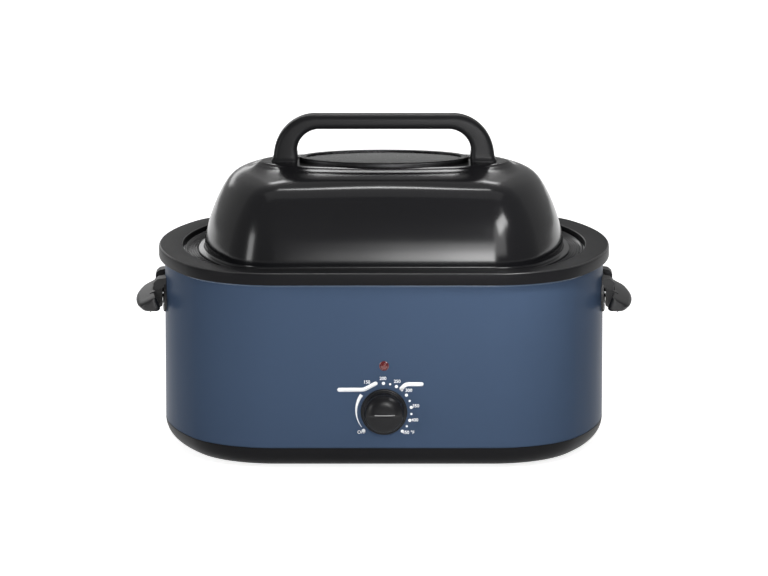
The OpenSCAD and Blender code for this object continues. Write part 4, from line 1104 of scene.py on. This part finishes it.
# indicator light above the control
def indicatorLens():
    low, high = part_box("indicator_lens")
    r, tall, facets = (high.x - low.x) / 2, high.y - low.y, 16
    flange = [(r, 0.0), *beside(r, 0, (0, 0.9), (-0.4, 1.2), (-0.9, 1.25))]
    half = math.pi / facets
    cut = [(r * 0.66, tall * 0.74, half), (r * 0.30, tall * 0.97, 0), (0.1 * mm, tall, half)]
    rings = [circle(p, h, facets) for p, h in flange] + [circle(p, h, facets, twist) for p, h, twist in cut]
    piece = makePiece("indicatorLens", ontoFront(skin(rings), (low.z + high.z) / 2), lensRed, sharp=8)
    settle(piece, "root", "red_lens", "indicator_lens")


indicatorLens()
print("control made")

# dial print: plain marks and numbers on the wall; labels, flags: places from the dial's centre in mm
dial = {"aside": -0.7 * mm, "lift": 0.8 * mm, "dotRing": 34.4 * mm, "dotR": 2.0 * mm, "halfDotR": 1.4 * mm,
        "highest": -47.5, "step": 27.5, "numbers": 6, "off": 225, "textSize": 5.6 * mm, "textBold": 0.09 * mm,
        "proud": 0.12 * mm, "ink": 0.17 * mm, "bandR": 33.4 * mm, "bandWide": 4.4 * mm, "bandFrom": 217,
        "bandTurn": 74, "bandSteps": 28, "flagWide": 5.0 * mm, "flagBend": 4 * mm,
        "labels": {"200": (-0.6, 40.4), "250": (16.8, 36.8), "300": (31.0, 25.6), "350": (39.6, 6.2),
                   "400": (38.4, -11.4), "450 °F": (30.6, -27.0), "150": (-20.4, 35.8),
                   "OFF": (-27.0, -26.6)},
        "flags": {"dialLeftFlag": [(-54, 26.4), (-24, 26.4), (-9.6, 34.2)],
                  "dialRightFlag": [(22.0, 28), (27.4, 33.4), (46.6, 33.4)]}}
dialCentre = (dial["aside"], front - dial["proud"], knobZ + dial["lift"])


def settlePrint(piece):
    for face in piece.data.polygons:
        if face.normal.y > 0:
            face.flip()
    settle(piece, "root", "ceramic")


def printPiece(name, points, faces):
    # flat print: points are (x, up) from the dial's centre
    placed = [Vector((x, 0, up)) + Vector(dialCentre) for x, up in points]
    piece = makePiece(name, (placed, faces), paint["dialWhite"])
    settlePrint(piece)
    thicken(piece, dial["ink"])


def dialDots(name, radius, count, first):
    disc = [Vector((p.x, 0, p.y)) for p in circle(radius, 0, 20)], [tuple(range(20))]
    settlePrint(repeat(name, onArc, disc, paint["dialWhite"], {
        "Count": count, "Radius": dial["dotRing"], "First Angle": math.radians(first),
        "Step Angle": math.radians(dial["step"]), "Centre": dialCentre}))


def dialBand():
    # a warm-up band that widens from the lower mark towards the upper one
    steps = dial["bandSteps"]
    outer, inner = [], []
    for k in range(steps + 1):
        a = math.radians(dial["bandFrom"] - dial["bandTurn"] * k / steps)
        half = dial["bandWide"] / 2 * (0.10 + 0.90 * (k / steps) ** 1.2)
        for side, line in ((1, outer), (-1, inner)):
            r = dial["bandR"] + side * half
            line.append((r * math.cos(a), r * math.sin(a)))
    count = steps + 1
    printPiece("dialBand", outer + inner, [(k, k + 1, count + k + 1, count + k) for k in range(steps)])


def dialFlag(name, corners):
    # bare band of even width that bends towards the marks, with round ends
    path = [Vector(p) for p in rounded(beside(0, 0, *corners), dial["flagBend"], closed=False)]
    half, left, right, ends = dial["flagWide"] / 2, [], [], []
    for k, p in enumerate(path):
        along = (path[min(k + 1, len(path) - 1)] - path[max(k - 1, 0)]).normalized()
        side = Vector((-along.y, along.x)) * half
        left.append(p + side)
        right.append(p - side)
    for tip, other in ((path[-1], path[-2]), (path[0], path[1])):
        along = (tip - other).normalized()
        start = math.atan2(along.x, -along.y)
        angles = [start - math.pi * s / 8 for s in range(1, 8)]
        ends.append([tip + half * Vector((math.cos(a), math.sin(a))) for a in angles])
    points = left + ends[0] + right[::-1] + ends[1]
    printPiece(name, [tuple(p) for p in points], [tuple(range(len(points)))])


def dialText(words, x, up):
    name = "dialLabel" + "".join(c for c in words if c.isalnum())
    curve = bpy.data.curves.new(name, "FONT")
    curve.body = words
    curve.size = dial["textSize"]
    curve.offset = dial["textBold"]
    curve.align_x = "CENTER"
    curve.align_y = "CENTER"
    source = addObject(name + "Source", curve)
    mesh = bakedMesh(source)
    bpy.data.objects.remove(source)
    points = [(x * mm + v.co.x, up * mm + v.co.y) for v in mesh.vertices]
    printPiece(name, points, [tuple(face.vertices) for face in mesh.polygons])


dialDots("dialMarks", dial["dotR"], dial["numbers"], dial["highest"])
dialDots("dialHalfMarks", dial["halfDotR"], dial["numbers"] - 1, dial["highest"] + dial["step"] / 2)
dialDots("dialOffMark", dial["dotR"], 1, dial["off"])
dialBand()
for words, (x, up) in dial["labels"].items():
    dialText(words, x, up)
for flagName, corners in dial["flags"].items():
    dialFlag(flagName, corners)
print("dial printed")

# what stays as the frame's own solid gets its finish here
finishes = {
    "sheetSteel": ("bottom_plate",), "wellSteel": ("heat_shield",), "micaBand": ("heating_band",),
    "platedSteel": ("bottom_screws", "support_posts", "lid_handle_screws", "side_handle_screws",
                    "thermostat_nut", "thermostat_spindle"),
    "mineralWool": ("insulation_blanket",), "blackRubber": ("window_gasket",),
    "ceramic": ("thermostat", "indicator_holder", "terminal_block"),
    "blackNylon": ("cord_gland", "gland_nut"), "leadSleeve": ("internal_leads",)}
for finish, nodes in finishes.items():
    for holder in [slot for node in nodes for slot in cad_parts[node].material_slots]:
        holder.link = "OBJECT"
        holder.material = {**paint, **steel}[finish]
print("frame solids finished")

# floor and light
studio = {"floorSize": 18, "ambient": 0.30, "floorColour": 0.86, "floorGlow": 0.85}
# softboxes: middle, what it faces, width and height, brightness
softBoxes = {
    "nearLeft": ((-0.05, -0.95, 0.40), (-0.05, 0, 0.40), (0.10, 0.26), 3.0),
    "nearMiddle": ((0.045, -0.95, 0.40), (0.045, 0, 0.40), (0.09, 0.26), 10.0),
    "nearRight": ((0.160, -0.95, 0.40), (0.160, 0, 0.40), (0.14, 0.26), 20.0),
    "farFront": ((1.2, -3.2, 1.7), (0, 0, 0.2), (1.6, 1.2), 3.6),
    "leftStrip": ((-2.1, -1.3, 0.7), (0, 0, 0.25), (0.5, 1.0), 8.0),
    "knobLight": ((0.25, -0.36, 0.46), (0, -0.23, 0.09), (0.15, 0.08), 18.0),
    "overhead": ((0, -0.2, 2.6), (0, 0, 0.2), (2.4, 1.6), 0.5),
    "highStrip": ((0, 1.0, 3.0), (0, 0, 0.35), (0.55, 0.34), 17.0),
    "backLeft": ((-0.9, 3.0, 0.80), (0, 0, 0.25), (1.1, 0.36), 1.6),
    "behind": ((0, 2.8, 1.9), (0, 0, 0.35), (1.1, 0.35), 5.0),
}


def studioFloor():
    # the camera, reflections and glass see the floor as white, and it keeps the oven's shadow
    material, tree, shader = startMaterial("studioFloor", {
        "Roughness": 0.9, "Base Color": (studio["floorColour"],) * 3 + (1,), "Emission Color": (1, 1, 1, 1)})
    rays = tree.nodes.new("ShaderNodeLightPath").outputs
    seen = rays["Is Camera Ray"]
    for label in ("Is Glossy Ray", "Is Transmission Ray"):
        seen = mathNode(tree, "MAXIMUM", seen, rays[label])
    feed(tree, shader["Emission Strength"], mathNode(tree, "MULTIPLY", seen, studio["floorGlow"]))
    size = studio["floorSize"] / 2
    corners = [(-size, -size, 0), (size, -size, 0), (size, size, 0), (-size, size, 0)]
    floor = makePiece("studioFloor", (corners, [(0, 1, 2, 3)]), material)
    if floor.data.polygons[0].normal.z < 0:
        floor.data.flip_normals()


def studioWorld():
    world = bpy.data.worlds.new("studio")
    bpy.context.scene.world = world
    world.use_nodes = True
    background = world.node_tree.nodes["Background"].inputs
    background["Color"].default_value = (1, 1, 1, 1)
    background["Strength"].default_value = studio["ambient"]


def softBox(name, place, aim, size, brightness):
    data = bpy.data.lights.new(name, "AREA")
    data.shape = "RECTANGLE"
    data.size, data.size_y = size
    data.energy = brightness * math.pi * size[0] * size[1]
    light = addObject(name, data)
    light.location = place
    light.rotation_euler = (Vector(aim) - Vector(place)).to_track_quat("-Z", "Y").to_euler()
    light.visible_camera = False


studioFloor()
studioWorld()
for boxName, values in softBoxes.items():
    softBox(boxName, *values)
print("studio lit")
